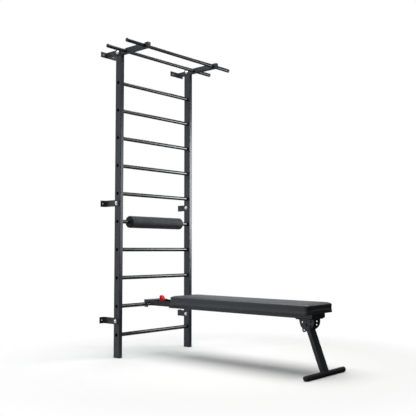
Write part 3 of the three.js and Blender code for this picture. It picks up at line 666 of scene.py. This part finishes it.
def makeAngleBracket(level, side):
    node, sign = f"wall_bracket_{level}_{side}", sides[side]
    low, high, middle = spanOf(node)
    thick, bend = bracketSpec["thickness"], bracketSpec["bend"]
    inner = min(abs(low[0]), abs(high[0]))
    outer, edge = inner + thick, max(abs(low[0]), abs(high[0]))
    centre = (outer + bend, high[1] - thick - bend)
    outline = np.concatenate([
        [(inner, low[1]), (outer, low[1])],
        arc(centre, bend, 180, 90, 7),
        [(edge, high[1] - thick), (edge, high[1])],
        arc(centre, bend + thick, 90, 180, 9),
    ])
    skin = plate(mirroredPlan(outline, sign), low[2], high[2], bracketSpec["ease"])
    bolt = spanOf(f"bracket_bolt_{level}_{side}")[2]
    wallHole = sign * (edge - bracketSpec["holeInset"])
    tools = [
        drillX(uprightSpec["boltHole"], 4 * thick, (sign * (inner + thick / 2), bolt[1], bolt[2])),
        drillY(bracketSpec["wallHole"], 4 * thick, (wallHole, high[1], middle[2])),
    ]
    dress(f"{node}_angle", [skin], "frame", blackSteel, node, tools, even=True)


def makeTopBracket(side):
    node, sign = f"wall_bracket_top_{side}", sides[side]
    low, high, middle = spanOf(node)
    thick = bracketSpec["thickness"]
    inner = abs(spanOf(f"upright_{side}")[0 if sign < 0 else 1][0]) + hair
    outer = inner + thick
    near, far = min(abs(low[0]), abs(high[0])), max(abs(low[0]), abs(high[0]))
    face = high[1] - thick
    outline = np.array([
        (inner, low[1]), (outer, low[1]), (outer, face), (far, face),
        (far, high[1]), (near, high[1]), (near, face), (inner, face),
    ])
    skin = plate(mirroredPlan(outline, sign), low[2], high[2], bracketSpec["ease"])
    bolt = spanOf(f"bracket_bolt_top_{side}")[2]
    tools = [drillX(uprightSpec["boltHole"], 4 * thick, (sign * (inner + thick / 2), bolt[1], bolt[2]))]
    for share in (-0.5, 0.5):
        at = (middle[0] + share * bracketSpec["topHoles"], high[1], middle[2])
        tools.append(drillY(bracketSpec["wallHole"], 4 * thick, at))
    dress(f"{node}_plate", [skin], "frame", blackSteel, node, tools, even=True)


def makeBolt(level, side):
    # one skin from the thread's end to the socket: tail, hexagon nut, washer, shank, washer and button head
    node, sign = f"bracket_bolt_{level}_{side}", sides[side]
    low, high, middle = spanOf(node)
    length = high[0] - low[0]
    s = boltSpec
    top = length / 2
    headSeat = top - s["headHeight"]
    washerSeat = headSeat - s["washerThick"]
    tail = -length / 2
    nutEnd = tail + 0.003
    nutSeat = nutEnd + s["nutHeight"]
    gripSeat = nutSeat + s["washerThick"]
    corner = s["nut"] * 2 / math.sqrt(3)
    crest, root = s["shank"], s["shank"] - 0.0006
    stations = [(tail, root - 0.0004, None), (tail + 0.0005, crest, None), (tail + 0.0012, root, None),
                (tail + 0.002, crest, None), (tail + 0.0027, root, None), (nutEnd, crest, None)]
    stations += [(nutEnd, s["nut"], None), (nutEnd + 0.0008, corner, s["nut"]),
                 (nutSeat - 0.0004, corner, s["nut"]), (nutSeat, s["nut"], None)]
    rim = 0.0004
    for start, end in ((nutSeat, gripSeat), (washerSeat, headSeat)):
        stations += [(start, s["washer"] - rim, None), (start + rim, s["washer"], None),
                     (end - rim, s["washer"], None), (end, s["washer"] - rim, None)]
        if end == gripSeat:
            stations += [(gripSeat, s["shank"], None), (washerSeat, s["shank"], None)]
    stations += headStations(s, headSeat, s["headHeight"], 7)
    points, faces = laid(turnedHexSkin(stations), "x")
    dress(f"{node}_set", [(points * np.array([sign, 1, 1]) + middle, faces)], "frame", zinc, node)


for side in sides:
    makeTopBracket(side)
    for level in levels[1:]:
        makeAngleBracket(level, side)
    for level in levels:
        makeBolt(level, side)
print("wall brackets and bolts made")


# Foam roller on its core

rollerSpec = {"coreWall": 0.003, "round": 0.009, "sides": 96, "rows": 90, "dent": 0.00035, "dish": 0.0012}


def makeRoller():
    # radius over length and turn: a cylinder with round shoulders and dished ends, plus low soft waves
    tubeAcross("roller_core", rollerSpec["coreWall"], "roller", blackPlastic, "roller_core_tube")
    low, high, middle = spanOf("roller_foam")
    bore = (spanOf("roller_core")[1][2] - spanOf("roller_core")[0][2]) / 2 + hair
    outer, half, soft = (high[2] - low[2]) / 2, (high[0] - low[0]) / 2, rollerSpec["round"]
    shoulder = np.linspace(0, np.pi / 2, 9)
    rising, falling = soft * np.sin(shoulder), soft * np.cos(shoulder)
    endRadius = np.linspace(bore, outer - soft, 8)
    dish = rollerSpec["dish"] * np.sin(np.pi * (endRadius - bore) / (outer - soft - bore)) ** 2
    along = np.linspace(soft - half, half - soft, rollerSpec["rows"])[1:-1]
    profile = np.concatenate([
        np.column_stack([dish - half, endRadius]),
        np.column_stack([soft - half - falling, outer - soft + rising])[1:],
        np.column_stack([along, np.full(len(along), outer)]),
        np.column_stack([half - soft + rising, outer - soft + falling])[:-1],
        np.column_stack([half - dish, endRadius])[::-1],
    ])
    turn = np.linspace(0, 2 * np.pi, rollerSpec["sides"], endpoint=False)
    height, radius = profile[:, :1], profile[:, 1:]
    wave = np.sin(3 * turn + 23 * height) + np.sin(2 * turn - 41 * height + 1.3) + np.sin(61 * height + 0.7)
    share = np.clip((radius - bore) / (outer - bore), 0, 1) ** 3
    reach = radius - rollerSpec["dent"] * share * (1 + wave / 3)
    rings = np.stack([np.broadcast_to(height, reach.shape), reach * np.cos(turn), reach * np.sin(turn)], -1)
    skin = skinOf(rings + middle, loop=True)
    foam = dress("roller_foam_sleeve", [skin], "roller", greyFoam, "roller_foam", sharpAbove=60)


makeRoller()
print("roller made")


# Bench: hook channel, rails, latch and leg fixing

latchSpec = {"thickness": 0.005, "ease": 0.0005, "stem": 0.006, "corner": 0.004}
channelSpec = {"wall": 0.004, "notch": 0.0145, "mouth": 0.0365, "jawReach": 0.007, "round": 0.010,
               "topReach": 0.055, "keeperWidth": 0.003, "keeperHeight": 0.004, "keeperGap": 0.0005,
               "slideTravel": 0.023,
               "ease": 0.0006, "sheetEase": 0.0004}


def makeChannel():
    # two hook-ended side plates, drawn in Y and Z about the rung: a slot over it, a jaw behind and below it;
    # a short plate over them, a back and a floor between them, and two keepers along the latch's edges
    s = channelSpec
    low, high, _ = spanOf("bench_hook_channel")
    slideLow = spanOf("latch_slide")[0]
    rung = spanOf("rung_02")[2]
    front, back = low[1] - rung[1], high[1] - rung[1]
    jaw, top = low[2] - rung[2], high[2] - rung[2]
    sideTop, floorTop = top - s["wall"], slideLow[2] - hair - rung[2]
    bottom = floorTop - s["wall"]
    tip = -(jaw + s["notch"]) / 2
    outline = np.concatenate([
        [(front, bottom), (-s["mouth"], bottom)],
        arc((s["notch"] - s["mouth"], 0), s["notch"], 180, 90, 9),
        arc((0, 0), s["notch"], 90, -90, 21),
        arc((tip - s["jawReach"], jaw + tip), tip, 90, 270, 11),
        arc((back - s["round"], jaw + s["round"]), s["round"], -90, 0, 9),
        [(back, sideTop), (front, sideTop)],
    ])
    inside = high[0] - s["wall"]
    backLow, floorBack = jaw + s["round"], -s["mouth"] - s["wall"]
    railBack = spanOf("bench_rail_left")[1][1] - rung[1]
    keeperFront = slideLow[1] - rung[1] - s["slideTravel"]
    keeperLow = floorTop + hair + latchSpec["thickness"] + s["keeperGap"]
    sheets = [  # left, right, front, back, underside, thickness
        (low[0], high[0], -s["topReach"], back, sideTop, s["wall"]),
        (-inside, inside, back - s["wall"], back, backLow, sideTop - backLow),
        (-inside, inside, railBack + hair, floorBack, bottom, s["wall"]),
        (-inside, s["keeperWidth"] - inside, keeperFront, floorBack, keeperLow, s["keeperHeight"]),
        (inside - s["keeperWidth"], inside, keeperFront, floorBack, keeperLow, s["keeperHeight"]),
    ]
    skins = []
    for edge in (low[0], inside):
        skins.append(laid(plate(outline, edge, edge + s["wall"], s["ease"]), "x", (0, rung[1], rung[2])))
    for left, right, near, far, under, thickness in sheets:
        sheet = np.array([(left, near), (right, near), (right, far), (left, far)])
        skin = plate(sheet, under, under + thickness, s["sheetEase"])
        skins.append(laid(skin, "z", (0, rung[1], rung[2])))
    dress("hook_channel_sheet", skins, "bench", blackSteel, "bench_hook_channel", even=True)


railSpec = {"corner": 0.003, "wall": 0.002, "ease": 0.0006}


def makeRail(side):
    # tube along Y that is closed at the front and open at the back
    low, high, middle = spanOf(f"bench_rail_{side}")
    width, height, length = high[0] - low[0], high[2] - low[2], high[1] - low[1]
    s = railSpec
    outer = roundedRing(width, height, s["corner"])
    rim = roundedRing(width - 2 * s["ease"], height - 2 * s["ease"], s["corner"] - s["ease"])
    inner = roundedRing(width - 2 * s["wall"], height - 2 * s["wall"], s["corner"] - s["wall"] + 0.0002)
    pairs = [(rim, 0), (outer, s["ease"]), (outer, length - s["ease"]), (rim, length), (inner, length),
             (inner, s["wall"])]
    skin = laid(skinOf(stackRings(pairs)), "y", (middle[0], low[1], middle[2]))
    dress(f"rail_{side}_tube", [skin], "bench", blackSteel, f"bench_rail_{side}", even=True)


def makeCrossTube():
    low, high, middle = spanOf("bench_cross_tube")
    tube = boxTube(high[1] - low[1], high[2] - low[2], railSpec["corner"], railSpec["wall"], high[0] - low[0])
    skin = laid(tube, "x", (low[0], middle[1], middle[2]))
    dress("cross_tube", [skin], "bench", blackSteel, "bench_cross_tube", even=True)


gripSpec = {"flat": 0.017, "toe": 0.018, "rounds": (0.004, 0.004, 0.006, 0.008, 0.008), "rows": 29,
            "ribs": 4, "ribDepth": 0.0006}


def makeLatch():
    low, high, _ = spanOf("latch_slide")
    grip = spanOf("latch_grip")[2]
    s = latchSpec
    sheet = roundedRing(high[0] - low[0], high[1] - low[1], s["corner"])
    middle = (0, (low[1] + high[1]) / 2, low[2])
    slide = laid(plate(sheet, 0, s["thickness"], s["ease"]), "z", middle)
    stem = turnedSkin([(s["thickness"], s["stem"]), (high[2] - low[2] - 0.001, s["stem"]),
                       (high[2] - low[2], s["stem"] - 0.001)])
    skins = [slide, laid(stem, "z", (grip[0], grip[1], low[2]))]
    dress("latch_slide_plate", skins, "latch", blackSteel, "latch_slide", even=True)


def softPolygon(corners, round, steps=8):
    # polygon with each corner replaced by a quadratic blend between points along its sides
    before, after = np.roll(corners, 1, 0) - corners, np.roll(corners, -1, 0) - corners
    start = corners + round[:, None] * before / np.linalg.norm(before, axis=1)[:, None]
    end = corners + round[:, None] * after / np.linalg.norm(after, axis=1)[:, None]
    t = np.linspace(0, 1, steps)[:, None, None]
    curve = (1 - t) ** 2 * start + 2 * t * (1 - t) * corners + t ** 2 * end
    return np.swapaxes(curve, 0, 1).reshape(-1, 2)


def evenRing(ring, count):
    # the same closed line with its points spaced evenly
    closed = np.vstack([ring, ring[:1]])
    run = np.concatenate([[0], np.cumsum(np.linalg.norm(np.diff(closed, axis=0), axis=1))])
    at = np.linspace(0, run[-1], count, endpoint=False)
    return np.column_stack([np.interp(at, run, closed[:, axis]) for axis in range(closed.shape[1])])


def makeGrip():
    # thumb wedge: its side outline swells from both cheeks as (1 - |t|^3.2)^(1/3.2), with ribs above
    low, high, middle = spanOf("latch_grip")
    s = gripSpec
    wide, long, tall = high - low
    corners = np.array([
        (-long / 2, 0), (long / 2, 0), (long / 2, tall), (long / 2 - s["flat"], tall), (-long / 2, s["toe"]),
    ])
    ring = evenRing(softPolygon(corners, np.array(s["rounds"])), 160)
    core = np.array([0.1 * long, 0.42 * tall])
    slope = np.array([s["toe"] - tall, long - s["flat"]])
    slope = slope / np.linalg.norm(slope)
    along = (ring - corners[4]) @ np.array([slope[1], -slope[0]]) / np.linalg.norm(corners[3] - corners[4])
    onSlope = np.abs((ring - corners[4]) @ slope) < 0.0015
    fade = np.clip(np.minimum(along - 0.12, 0.88 - along) / 0.1, 0, 1) * onSlope
    rib = s["ribDepth"] * fade * (0.5 - 0.5 * np.cos(2 * np.pi * s["ribs"] * along))
    ring = ring - rib[:, None] * slope
    t = np.sin(np.linspace(-np.pi / 2, np.pi / 2, s["rows"]))
    swell = np.clip(1 - np.abs(t) ** 3.2, 0, 1) ** (1 / 3.2)
    scale = 0.62 + 0.38 * swell
    flat = core + scale[:, None, None] * (ring - core)
    flat[..., 1] = np.maximum(flat[..., 1], 0)
    across = np.broadcast_to((t * wide / 2)[:, None, None], flat[..., :1].shape)
    rings = np.concatenate([across, flat], -1) + np.array([middle[0], middle[1], low[2]])
    dress("grip_wedge", [skinOf(rings)], "latch", redPlastic, "latch_grip", sharpAbove=70)


makeChannel()
makeCrossTube()
for side in sides:
    makeRail(side)
makeLatch()
makeGrip()
print("bench frame and latch made")


# Leg fixing and folding leg

legPlateSpec = {"ease": 0.0006, "sector": 0.056, "sectorAt": (-0.002, 0.022), "sectorLow": -105,
                "waist": (0.041, -0.008), "lobe": 0.013, "lobeAt": (0.015, -0.033), "lobeBack": 30,
                "lobeFront": -115, "hole": 0.005,
                "holes": [(0.028, 0.015), (-0.035, 0.019), (-0.033, -0.002), (0.015, -0.033)]}
legSpec = {"width": 0.06, "depth": 0.03, "corner": 0.004, "wall": 0.002, "above": 0.018, "saddle": 0.0163}
legBoltSpec = {"shank": 0.005, "head": 0.009, "headHeight": 0.005, "edge": 0.002, "crown": 0.004,
               "socket": 0.003, "socketDepth": 0.0025}
footSpec = {"wall": 0.002, "capInsert": 0.016, "capRound": 0.0045}
pivot, stop = spanOf("leg_pivot_bolt")[2], spanOf("leg_stop_bolt")[2]


def makeLegPlate(side):
    # straight top and back, a lobe below and a round front, drawn in Y and Z about the pivot
    s = legPlateSpec
    low, high, _ = spanOf(f"leg_plate_{side}")
    top, back = high[2] - pivot[2], high[1] - pivot[1]
    sector = np.array(s["sectorAt"])
    frontTop = sector[0] - math.sqrt(s["sector"] ** 2 - (top - sector[1]) ** 2)
    frontTurn = math.degrees(math.atan2(top - sector[1], frontTop - sector[0])) - 360
    outline = np.concatenate([
        [(back, top)], [s["waist"]],
        arc(s["lobeAt"], s["lobe"], s["lobeBack"], s["lobeFront"], 15),
        arc(sector, s["sector"], s["sectorLow"], frontTurn, 23),
    ])[::-1]
    tools = [drillX(s["hole"], 0.03, (low[0], pivot[1] + y, pivot[2] + z)) for y, z in s["holes"]]
    for bolt in (pivot, stop):
        tools.append(drillX(legBoltSpec["shank"] + hair, 0.03, (low[0], bolt[1], bolt[2])))
    skin = laid(plate(outline, low[0], high[0], s["ease"]), "x", (0, pivot[1], pivot[2]))
    dress(f"leg_plate_{side}_sheet", [skin], "bench", blackSteel, f"leg_plate_{side}", tools, even=True)


mountSpec = {"corner": 0.004, "ease": 0.0006}


def makeMountPlate():
    skin = flatSheet("leg_mount_plate", mountSpec["corner"], mountSpec["ease"])
    dress("mount_plate_sheet", [skin], "bench", blackSteel, "leg_mount_plate", even=True)


def makeLegBolt(node):
    # low round heads with hexagon sockets at both ends of one shank
    low, high, middle = spanOf(node)
    s = legBoltSpec
    end = (high[0] - low[0]) / 2
    seat = end - s["headHeight"]
    half = [(seat, s["shank"], None), *headStations(s, seat, s["headHeight"])]
    other = [(-height, radius, hexagon) for height, radius, hexagon in half[::-1]]
    skin = laid(turnedHexSkin(other + half), "x", middle)
    dress(f"{node}_set", [skin], "bench", blackSteel, node)


def makeLeg():
    # tube along the line from the foot bar to the pivot, with a saddle cut for the bar
    s = legSpec
    foot = spanOf("foot_bar")[2]
    rise = pivot - foot
    length = np.linalg.norm(rise)
    up = rise / length
    square = np.array([0, up[2], -up[1]])
    points, faces = boxTube(s["width"], s["depth"], s["corner"], s["wall"], length + s["above"])
    place = foot + points[:, :1] * np.array([1, 0, 0]) + points[:, 1:2] * square + points[:, 2:] * up
    tools = [drillX(s["saddle"], 2 * s["width"], foot)]
    tools.append(drillX(legBoltSpec["shank"] + hair, 2 * s["width"], pivot))
    dress("leg_tube_steel", [(place, faces)], "leg", blackSteel, "leg_tube", tools, even=True)
    tubeAcross("foot_bar", footSpec["wall"], "leg", rubberCoat, "foot_bar_tube")
    for side, sign in sides.items():
        node = f"foot_cap_{side}"
        makeCap(node, "foot_bar", "leg", sign, f"{node}_dome", footSpec["capInsert"], footSpec["capRound"])


for side in sides:
    makeLegPlate(side)
makeMountPlate()
for node in ("leg_pivot_bolt", "leg_stop_bolt"):
    makeLegBolt(node)
makeLeg()
print("leg made")


# Pad: plywood board and a vinyl cushion that the cloth solver swells

boardSpec = {"corner": 0.03, "ease": 0.001}
padSpec = {"corner": 0.028, "edge": 0.007, "slack": 0.003, "drawIn": 0.003, "crown": 0.004, "voxel": 0.006,
           "pressure": 4.0, "frames": 20, "cap": 0.005, "tuck": 0.001, "held": 0.014, "hem": 0.0012}
seamSpec = {"radius": 0.0014, "sink": 0.0008, "count": 900, "sides": 10}


def makeBoard():
    skin = flatSheet("pad_board", boardSpec["corner"], boardSpec["ease"])
    dress("pad_board_ply", [skin], "bench", plywood, "pad_board", even=True)


def padForm():
    # rings of the pad's outline: along the underside, up the drawn-in side and in over the crown
    s = padSpec
    low, high, middle = spanOf("pad_cushion")
    width, length = high[0] - low[0] - 2 * s["slack"], high[1] - low[1] - 2 * s["slack"]
    bottom, top = spanOf("pad_board")[0][2] - s["hem"], high[2] - s["slack"] - s["crown"]
    edge = s["edge"]
    turn = np.linspace(0, np.pi / 2, 5)
    share = np.linspace(0, 1, 9)
    insets = np.concatenate([
        [0.06, 0.02, 0.004],
        0.0008 + s["drawIn"] * np.sin(np.pi * share),
        edge * (1 - np.cos(turn[1:])),
        np.linspace(edge, width / 2 - 0.004, 14)[1:],
    ])
    rise = np.concatenate([
        np.full(3, bottom),
        bottom + 0.003 + (top - edge - bottom - 0.003) * share,
        top - edge + edge * np.sin(turn[1:]),
        np.full(13, top),
    ])
    over = np.clip((insets - edge) / (width / 2 - edge), 0, 1)
    rise[-13:] += s["crown"] * (1 - (1 - over[-13:]) ** 2)
    rings = []
    for inset, height in zip(insets, rise):
        corner = max(s["corner"] - inset, 0.0015)
        ring = roundedRing(width - 2 * inset, length - 2 * inset, corner, 8)
        rings.append(np.column_stack([ring + middle[:2], np.full(len(ring), height)]))
    return skinOf(np.stack(rings))


def swellPad(piece):
    # padded cover: even skin by voxels, pressure from inside, movement capped, underside held
    s = padSpec
    remesh = piece.modifiers.new("evenSkin", "REMESH")
    remesh.mode, remesh.voxel_size = "VOXEL", s["voxel"]
    applyAll(piece)
    count = len(piece.data.vertices)
    start = np.empty(count * 3)
    piece.data.vertices.foreach_get("co", start)
    start = start.reshape(-1, 3)
    held = piece.vertex_groups.new(name="held")
    held.add(np.flatnonzero(start[:, 2] < start[:, 2].min() + s["held"]).tolist(), 1.0, "REPLACE")
    cloth = piece.modifiers.new("cover", "CLOTH")
    cloth.settings.vertex_group_mass = "held"
    cloth.settings.use_pressure = True
    cloth.settings.uniform_pressure_force = s["pressure"]
    cloth.settings.effector_weights.gravity = 0
    cloth.settings.quality = 5
    cloth.collision_settings.use_collision = False
    cloth.point_cache.frame_start, cloth.point_cache.frame_end = 1, s["frames"]
    for step in range(1, s["frames"] + 1):
        scene.frame_set(step)
    swollen = bakedMesh(piece)
    after = np.empty(count * 3)
    swollen.vertices.foreach_get("co", after)
    bpy.data.meshes.remove(swollen)
    move = after.reshape(-1, 3) - start
    far = np.linalg.norm(move, axis=1, keepdims=True)
    move *= np.minimum(1, s["cap"] / np.maximum(far, 1e-9))
    outward = np.sign(start[:, :2] - spanOf("pad_cushion")[2][:2])
    move[:, :2] += outward * np.maximum(-outward * move[:, :2] - s["tuck"], 0)  # the sides hardly draw in
    piece.modifiers.clear()
    piece.vertex_groups.clear()
    scene.frame_set(1)
    piece.data.vertices.foreach_set("co", (start + move).ravel())
    piece.data.update()
    print("pad swelled by at most", round(float(far.max()) * 1000, 1), "mm before the cap")
    smooth = piece.modifiers.new("finer", "SUBSURF")
    smooth.levels = smooth.render_levels = 1
    applyAll(piece)


def makeCushion():
    low, high, middle = spanOf("pad_cushion")
    boardLow, boardHigh, _ = spanOf("pad_board")
    piece = linked("pad_cushion_cover", meshOf("pad_cushion_cover", [padForm()]))
    swellPad(piece)
    width, length = boardHigh[0] - boardLow[0] + 2 * hair, boardHigh[1] - boardLow[1] + 2 * hair
    ring = roundedRing(width, length, boardSpec["corner"] + hair)
    pocket = skinOf(stackRings([(ring, low[2] - 0.02), (ring, boardHigh[2] + hair)]))
    cutHoles(piece, [laid(pocket, "z", (middle[0], middle[1], 0))])
    shade(piece.data, 50)
    clothe(piece, "bench", blackVinyl, "pad_cushion")
    return piece


def makeSeam(cushion):
    # sewn edge: a thin round fold carried along the line where rays at 45 degrees meet the pad's top edge
    s = seamSpec
    low, high, middle = spanOf("pad_cushion")
    ring = evenRing(roundedRing(high[0] - low[0], high[1] - low[1], padSpec["corner"], 12), s["count"])
    along = np.roll(ring, -1, 0) - np.roll(ring, 1, 0)
    along /= np.linalg.norm(along, axis=1)[:, None]
    out = np.column_stack([along[:, 1], -along[:, 0]])
    tree = BVHTree.FromObject(cushion, bpy.context.evaluated_depsgraph_get())
    lean = np.column_stack([out, np.ones(len(out))]) / math.sqrt(2)
    edge = np.column_stack([ring + middle[:2], np.full(len(ring), high[2] - padSpec["crown"])])
    start = edge + 0.04 * lean
    hits = [tree.ray_cast(Vector(p), Vector(-d)) for p, d in zip(start, lean)]
    line = np.array([hit[0] for hit in hits]) - s["sink"] * lean
    span = np.ones(9) / 9
    padded = np.vstack([line[-4:], line, line[:4]])
    line = np.column_stack([np.convolve(padded[:, axis], span, "valid") for axis in range(3)])
    turn = np.linspace(0, 2 * np.pi, s["sides"], endpoint=False)
    flat = np.column_stack([along, np.zeros(len(along))])
    side = np.cross(flat, lean)
    rings = line[:, None, :] + s["radius"] * (
        np.cos(turn)[None, :, None] * lean[:, None, :] + np.sin(turn)[None, :, None] * side[:, None, :])
    seam = linked("pad_edge_seam", meshOf("pad_edge_seam", [skinOf(rings, loop=True)]))
    shade(seam.data, 70)
    clothe(seam, "bench", blackVinyl)


makeBoard()
makeSeam(makeCushion())
print("pad made")


# Floor, light and camera

# bright and dark: painted light and painted shade in the floor colour that reflected rays meet
floorSpec = {"half": 30.0, "tone": 0.64, "near": 1.0, "far": 1.8, "bright": 0.55, "dark": 0.04, "turn": 1.2}
lightSpec = {
    "front": {"at": (1.53, -0.43, 1.35), "aim": (0.33, 0.64, 1.15), "size": (0.5, 1.2), "power": 7.5,
              "spread": 85, "tint": (0.92, 0.95, 1)},
    "fill": {"at": (0.92, -0.55, 1.3), "aim": (-0.1, 0.66, 1.15), "size": (0.6, 1.2), "power": 1.6,
             "spread": 85, "tint": (0.92, 0.95, 1)},
    "left": {"at": (-3.75, 2.85, 1.2), "aim": (-0.2, 0.6, 1.1), "size": (2.6, 2.6), "power": 29,
             "tint": (0.82, 0.89, 1)},
    "above": {"at": (-0.1, 0.05, 3.5), "aim": (-0.1, 0.05, 0.0), "size": (3.4, 3.4), "power": 215,
              "tint": (1, 0.99, 0.97)},
}
worldSpec = {"ahead": 0.10, "behind": 0.58, "tint": (0.92, 0.96, 1.0)}
cameraSpec = {"at": (-3.54235, -2.97718, 0.75935), "yaw": 48.598, "pitch": 3.535, "focalPixels": 674.62,
              "picture": 416, "sensor": 36.0}


def makeFloor():
    # pale floor: the camera sees it take the object's shadow, and farther off plain white;
    # other rays meet a matt floor with painted light and painted shade in its colour, bright on the wall's
    # left and dark on the room's right
    s = floorSpec
    half = s["half"]
    mesh = bpy.data.meshes.new("floor")
    mesh.from_pydata([(-half, -half, 0), (half, -half, 0), (half, half, 0), (-half, half, 0)],
                     [], [(0, 1, 2, 3)])
    floor = linked("floor", mesh)
    material = bpy.data.materials.new("paleFloor")
    material.use_nodes = True
    nodes, links = material.node_tree.nodes, material.node_tree.links
    nodes.clear()
    place = nodes.new("ShaderNodeTexCoord")

    def measured(operation, low, high, toLow, toHigh, vector=None):
        node = nodes.new("ShaderNodeVectorMath")
        node.operation = operation
        if vector:
            node.inputs[1].default_value = vector
        span = nodes.new("ShaderNodeMapRange")
        span.interpolation_type = "SMOOTHSTEP"
        for socket, value in zip(("From Min", "From Max", "To Min", "To Max"), (low, high, toLow, toHigh)):
            span.inputs[socket].default_value = value
        links.new(place.outputs["Object"], node.inputs[0])
        links.new(node.outputs["Value"], span.inputs["Value"])
        return span.outputs["Result"]

    def mixed(factor, first, second):
        node = nodes.new("ShaderNodeMixShader")
        links.new(factor, node.inputs[0])
        links.new(first.outputs[0], node.inputs[1])
        links.new(second.outputs[0], node.inputs[2])
        return node

    shadowed, met = nodes.new("ShaderNodeBsdfDiffuse"), nodes.new("ShaderNodeBsdfDiffuse")
    shadowed.inputs["Color"].default_value = (s["tone"], s["tone"], s["tone"], 1)
    # painted light and shade: the floor's colour for other rays runs from bright at the wall's left to dark
    # at the room's right
    paintedRoomLight = measured("DOT_PRODUCT", -s["turn"], s["turn"], s["dark"], s["bright"], (-0.7, 0.7, 0))
    links.new(paintedRoomLight, met.inputs["Color"])
    white = nodes.new("ShaderNodeEmission")
    seen = mixed(measured("LENGTH", s["near"], s["far"], 0, 1), shadowed, white)
    path = nodes.new("ShaderNodeLightPath")
    out = nodes.new("ShaderNodeOutputMaterial")
    links.new(mixed(path.outputs["Is Camera Ray"], met, seen).outputs[0], out.inputs["Surface"])
    mesh.materials.append(material)


def makeLight(name, spec):
    data = bpy.data.lights.new(name, "AREA")
    data.shape = "RECTANGLE"
    data.size, data.size_y = spec["size"]
    data.energy = spec["power"]
    data.color = spec["tint"]
    data.spread = math.radians(spec.get("spread", 180))
    lamp = bpy.data.objects.new(name, data)
    lamp.location = spec["at"]
    lamp.rotation_euler = (Vector(spec["aim"]) - Vector(spec["at"])).to_track_quat("-Z", "Y").to_euler()
    lamp.visible_camera = False
    scene.collection.objects.link(lamp)


def makeWorld():
    # white for the camera; for all other rays a soft grey room, brighter behind the wall bars
    world = bpy.data.worlds.new("studio")
    scene.world = world
    world.use_nodes = True
    nodes, links = world.node_tree.nodes, world.node_tree.links
    back = nodes["Background"]
    shown = nodes.new("ShaderNodeMix")
    shown.data_type = "RGBA"
    shown.inputs["A"].default_value = (*worldSpec["tint"], 1)
    shown.inputs["B"].default_value = (1, 1, 1, 1)
    place = nodes.new("ShaderNodeTexCoord")
    split = nodes.new("ShaderNodeSeparateXYZ")
    room = nodes.new("ShaderNodeMapRange")
    room.interpolation_type = "SMOOTHSTEP"
    room.inputs["From Min"].default_value, room.inputs["From Max"].default_value = -0.5, 0.6
    room.inputs["To Min"].default_value = worldSpec["ahead"]
    room.inputs["To Max"].default_value = worldSpec["behind"]
    path = nodes.new("ShaderNodeLightPath")
    level = nodes.new("ShaderNodeMix")
    level.data_type = "FLOAT"
    level.inputs["B"].default_value = 1.0
    links.new(place.outputs["Generated"], split.inputs[0])
    links.new(split.outputs["Y"], room.inputs["Value"])
    links.new(room.outputs["Result"], level.inputs["A"])
    for mix, socket in ((level, "Strength"), (shown, "Color")):
        links.new(path.outputs["Is Camera Ray"], mix.inputs["Factor"])
        links.new(mix.outputs["Result"], back.inputs[socket])


def makeCamera():
    s = cameraSpec
    data = bpy.data.cameras.new("camera")
    data.sensor_width = s["sensor"]
    data.lens = s["focalPixels"] * s["sensor"] / s["picture"]
    yaw, pitch = math.radians(s["yaw"]), math.radians(s["pitch"])
    ahead = Vector((math.sin(yaw) * math.cos(pitch), math.cos(yaw) * math.cos(pitch), math.sin(pitch)))
    camera = bpy.data.objects.new("camera", data)
    camera.location = s["at"]
    camera.rotation_euler = ahead.to_track_quat("-Z", "Y").to_euler()
    scene.collection.objects.link(camera)
    scene.camera = camera


makeFloor()
for name, spec in lightSpec.items():
    makeLight(name, spec)
makeWorld()
makeCamera()
print("floor, light and camera made")
